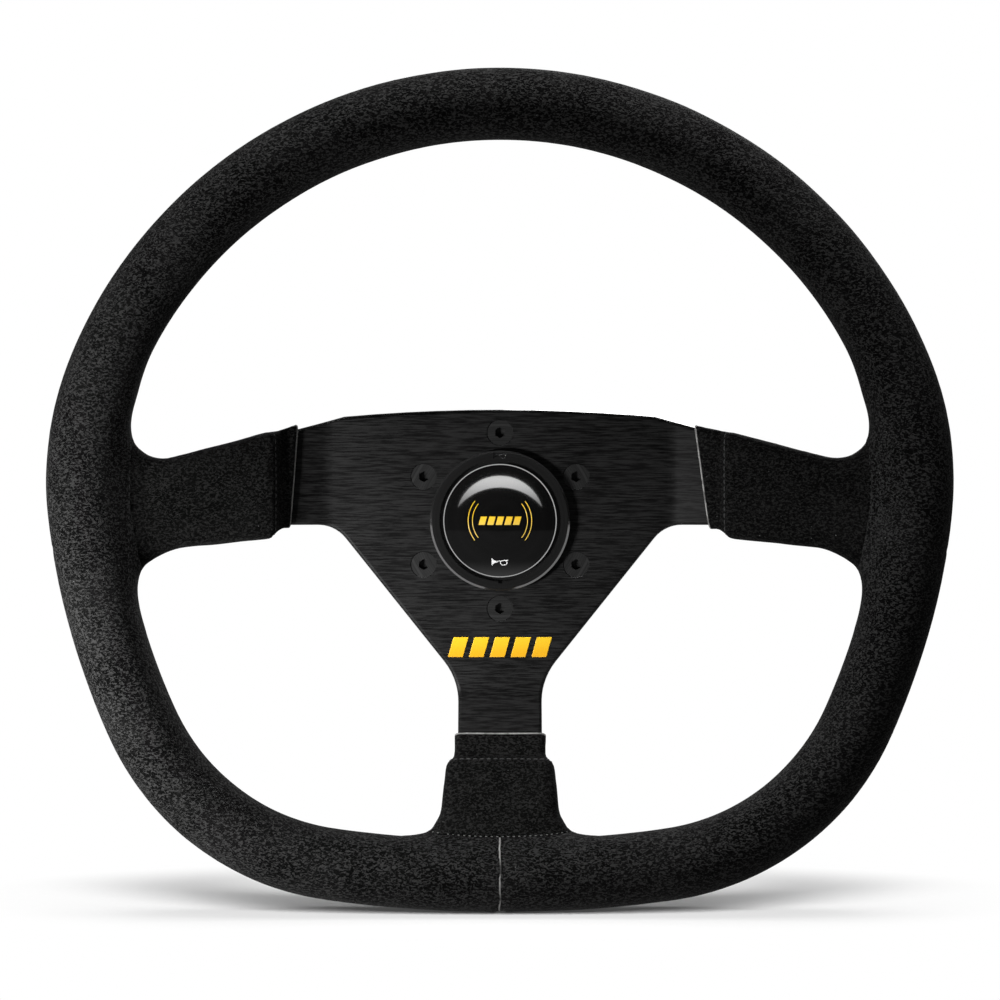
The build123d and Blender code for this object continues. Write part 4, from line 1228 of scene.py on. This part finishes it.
# %% [markdown]
# ## Camera, floor and light
#
# The camera stands a metre in front of the rim, straight on. A small lamp low on the left gives the suede
# its shape, a strip above lights the top of the rim, and one lamp behind lights the coupler for the views
# from the back. Two more light only the floor, and lay the soft shadow on it. Two panels that only gloss
# can see put the crescent on the button and a shine on its ring and the bezel. The white behind the wheel
# comes from the world and the floor themselves.

# %% Camera
camera_distance, camera_height = 1.0, 8.2 * MM
camera_data = bpy.data.cameras.new("camera")
camera_data.sensor_width = 36.0
camera_data.lens = 93.2
camera = add_object("camera", camera_data)
camera.location = (0.0, rim_y - camera_distance, camera_height)
camera.rotation_euler = (math.radians(90), 0.0, 0.0)
scene.camera = camera
scene.view_settings.view_transform = "Standard"
print("camera at", [round(v, 4) for v in camera.location])

# %% World
scene.world = bpy.data.worlds.new("studio")
tree = bare_tree(scene.world)
ray = {socket.name: Value(socket) for socket in put(tree, "ShaderNodeLightPath").outputs}
_, ahead, _ = split(output(tree, "ShaderNodeTexCoord", at="Generated"))
behind = remap(ahead, 0.72, 0.92)
seen = ray["Is Camera Ray"].or_larger(ray["Is Transmission Ray"]).or_larger(ray["Is Glossy Ray"] * behind)
sky = mix_shaders(seen, glow(tree, 0.07, "ShaderNodeBackground"), glow(tree, 1.0, "ShaderNodeBackground"))
put(tree, "ShaderNodeOutputWorld", {"Surface": sky})
print("world nodes:", len(tree.nodes))


# %% Lamps
def lamp(name, place, aim, width, height, power):
    """Area lamp at a place, aimed at a point."""
    data = bpy.data.lights.new(name, "AREA")
    data.shape = "RECTANGLE"
    data.size = width
    data.size_y = height
    data.energy = power
    obj = add_object(name, data)
    obj.location = place
    obj.rotation_euler = (Vector(aim) - Vector(place)).to_track_quat("-Z", "Y").to_euler()
    return obj


def lights_only(lights, name, objects, state="INCLUDE"):
    """Lets lights reach only some objects, or all but them."""
    reached = bpy.data.collections.new(name)
    for obj in objects:
        reached.objects.link(obj)
    for member in reached.collection_objects:
        member.light_linking.link_state = state
    for light in lights:
        light.light_linking.receiver_collection = reached


key_spread = 54
key = lamp("key_lamp", (-0.45, -0.42, -0.13), (-0.15, -0.08, -0.06), 0.12, 0.04, 0.74)
key.data.spread = math.radians(key_spread)
wheel_lamps = [key, lamp("top_lamp", (0.0, -0.24, 0.70), (0.0, -0.09, 0.1), 0.7, 0.16, 7.0),
               lamp("back_lamp", (0.35, 0.95, 0.75), (0.0, 0.0, 0.0), 0.6, 0.6, 12.0)]
floor_lamps = [
    lamp("floor_lamp", (0.0, rim_y - 0.85, 0.45), (0.0, rim_y + 0.03, -0.16), 0.8, 0.60, 18.0),
    lamp("floor_rear_lamp", (0.0, rim_y + 0.12, 0.85), (0.0, rim_y, -0.16), 0.8, 0.40, 4.2)]


# %% Panels that only gloss can see
def glow_panel(name, corners, faces, strength, seen_by):
    """Panel that only the gloss of some nodes can see. Its strength comes from its height."""
    mesh = new_mesh(name, corners, faces)
    panel = add_object(name, mesh)
    glowing = bpy.data.materials.new(name + "_glow")
    tree = bare_tree(glowing)
    put(tree, "ShaderNodeOutputMaterial", {"Surface": glow(tree, strength(split(place_of(tree))[2]))})
    mesh.materials.append(glowing)
    for flag in ("camera", "diffuse", "transmission", "shadow"):
        setattr(panel, "visible_" + flag, False)
    lights_only([panel], "lit_by_" + name, [nodes[node] for node in seen_by])
    print(name, "shines on", len(seen_by), "pieces")


def arc_of(radius, half_turn, drop=0.0, steps=40):
    """Points of an arc over the top, as (x, z), lowered by a drop."""
    turns = [half_turn * (2 * i / steps - 1) for i in range(steps + 1)]
    return [(radius * math.sin(turn), radius * math.cos(turn) - drop) for turn in turns]


crescent_away = 0.5
outer_share, inner_share, inner_drop = 0.425, 0.54, 0.235
tip_z = (inner_share ** 2 - outer_share ** 2 - inner_drop ** 2) / (2 * inner_drop)
outer = arc_of(outer_share, math.acos(tip_z / outer_share))
inner = arc_of(inner_share, math.acos((tip_z + inner_drop) / inner_share), inner_drop)
crescent = [(x * crescent_away, button_front - crescent_away, z * crescent_away) for x, z in outer + inner]
strip = [(i, i + 1, len(outer) + i + 1, len(outer) + i) for i in range(len(outer) - 1)]
glow_panel("reflected_panel", crescent, strip, lambda up: remap(up, 0.05, 0.21, 2.2, 7.5), ["horn_button"])
square = [(-2, -1.6, -2), (2, -1.6, -2), (2, -1.6, 2), (-2, -1.6, 2)]
glow_panel("front_panel", square, [(0, 1, 2, 3)], lambda up: 0.6, ["button_trim_ring", "horn_bezel"])

# %% Floor
floor_half = 4
corners = [(x * floor_half, y * floor_half, cad_low.z) for x, y in ((-1, -1), (1, -1), (1, 1), (-1, 1))]
floor_mesh = new_mesh("floor", corners, [(0, 1, 2, 3)])
floor = add_object("floor", floor_mesh)
floor_white = bpy.data.materials.new("white_floor")
tree = bare_tree(floor_white)
ray = {socket.name: Value(socket) for socket in put(tree, "ShaderNodeLightPath").outputs}
x, y, _ = split(place_of(tree))
shadow_half_width, shadow_half_depth, shadow_y = 0.22, 0.10, rim_y + 0.04
from_shadow = ((x / shadow_half_width) ** 2.0 + ((y - shadow_y) / shadow_half_depth) ** 2.0).root()
even = remap(from_shadow, 0.65, 1.05).or_larger(ray["Is Glossy Ray"])
lit = output(tree, "ShaderNodeBsdfDiffuse", {"Color": grey(0.8)})
near_floor = output(tree, "ShaderNodeAddShader", {0: lit, 1: glow(tree, 0.05)})
dim_front = remap(y, -0.15, -0.45, 0.0, 0.95)
plain = glow(tree, 1.0 - ray["Is Glossy Ray"] * dim_front)
seen = ray["Is Camera Ray"].or_larger(ray["Is Glossy Ray"].or_larger(ray["Is Transmission Ray"]))
dull = output(tree, "ShaderNodeBsdfDiffuse", {"Color": grey(0.14)})
shown = mix_shaders(seen, dull, mix_shaders(even, near_floor, plain))
from_below = output(tree, "ShaderNodeNewGeometry", at="Backfacing")
both = mix_shaders(from_below, shown, output(tree, "ShaderNodeBsdfTransparent"))
put(tree, "ShaderNodeOutputMaterial", {"Surface": both})
floor_mesh.materials.append(floor_white)
lights_only(floor_lamps, "lit_by_floor_lamps", [floor])
lights_only(wheel_lamps, "not_the_floor", [floor], "EXCLUDE")
print("lamps:", len(wheel_lamps), "for the wheel and", len(floor_lamps), "for the floor")
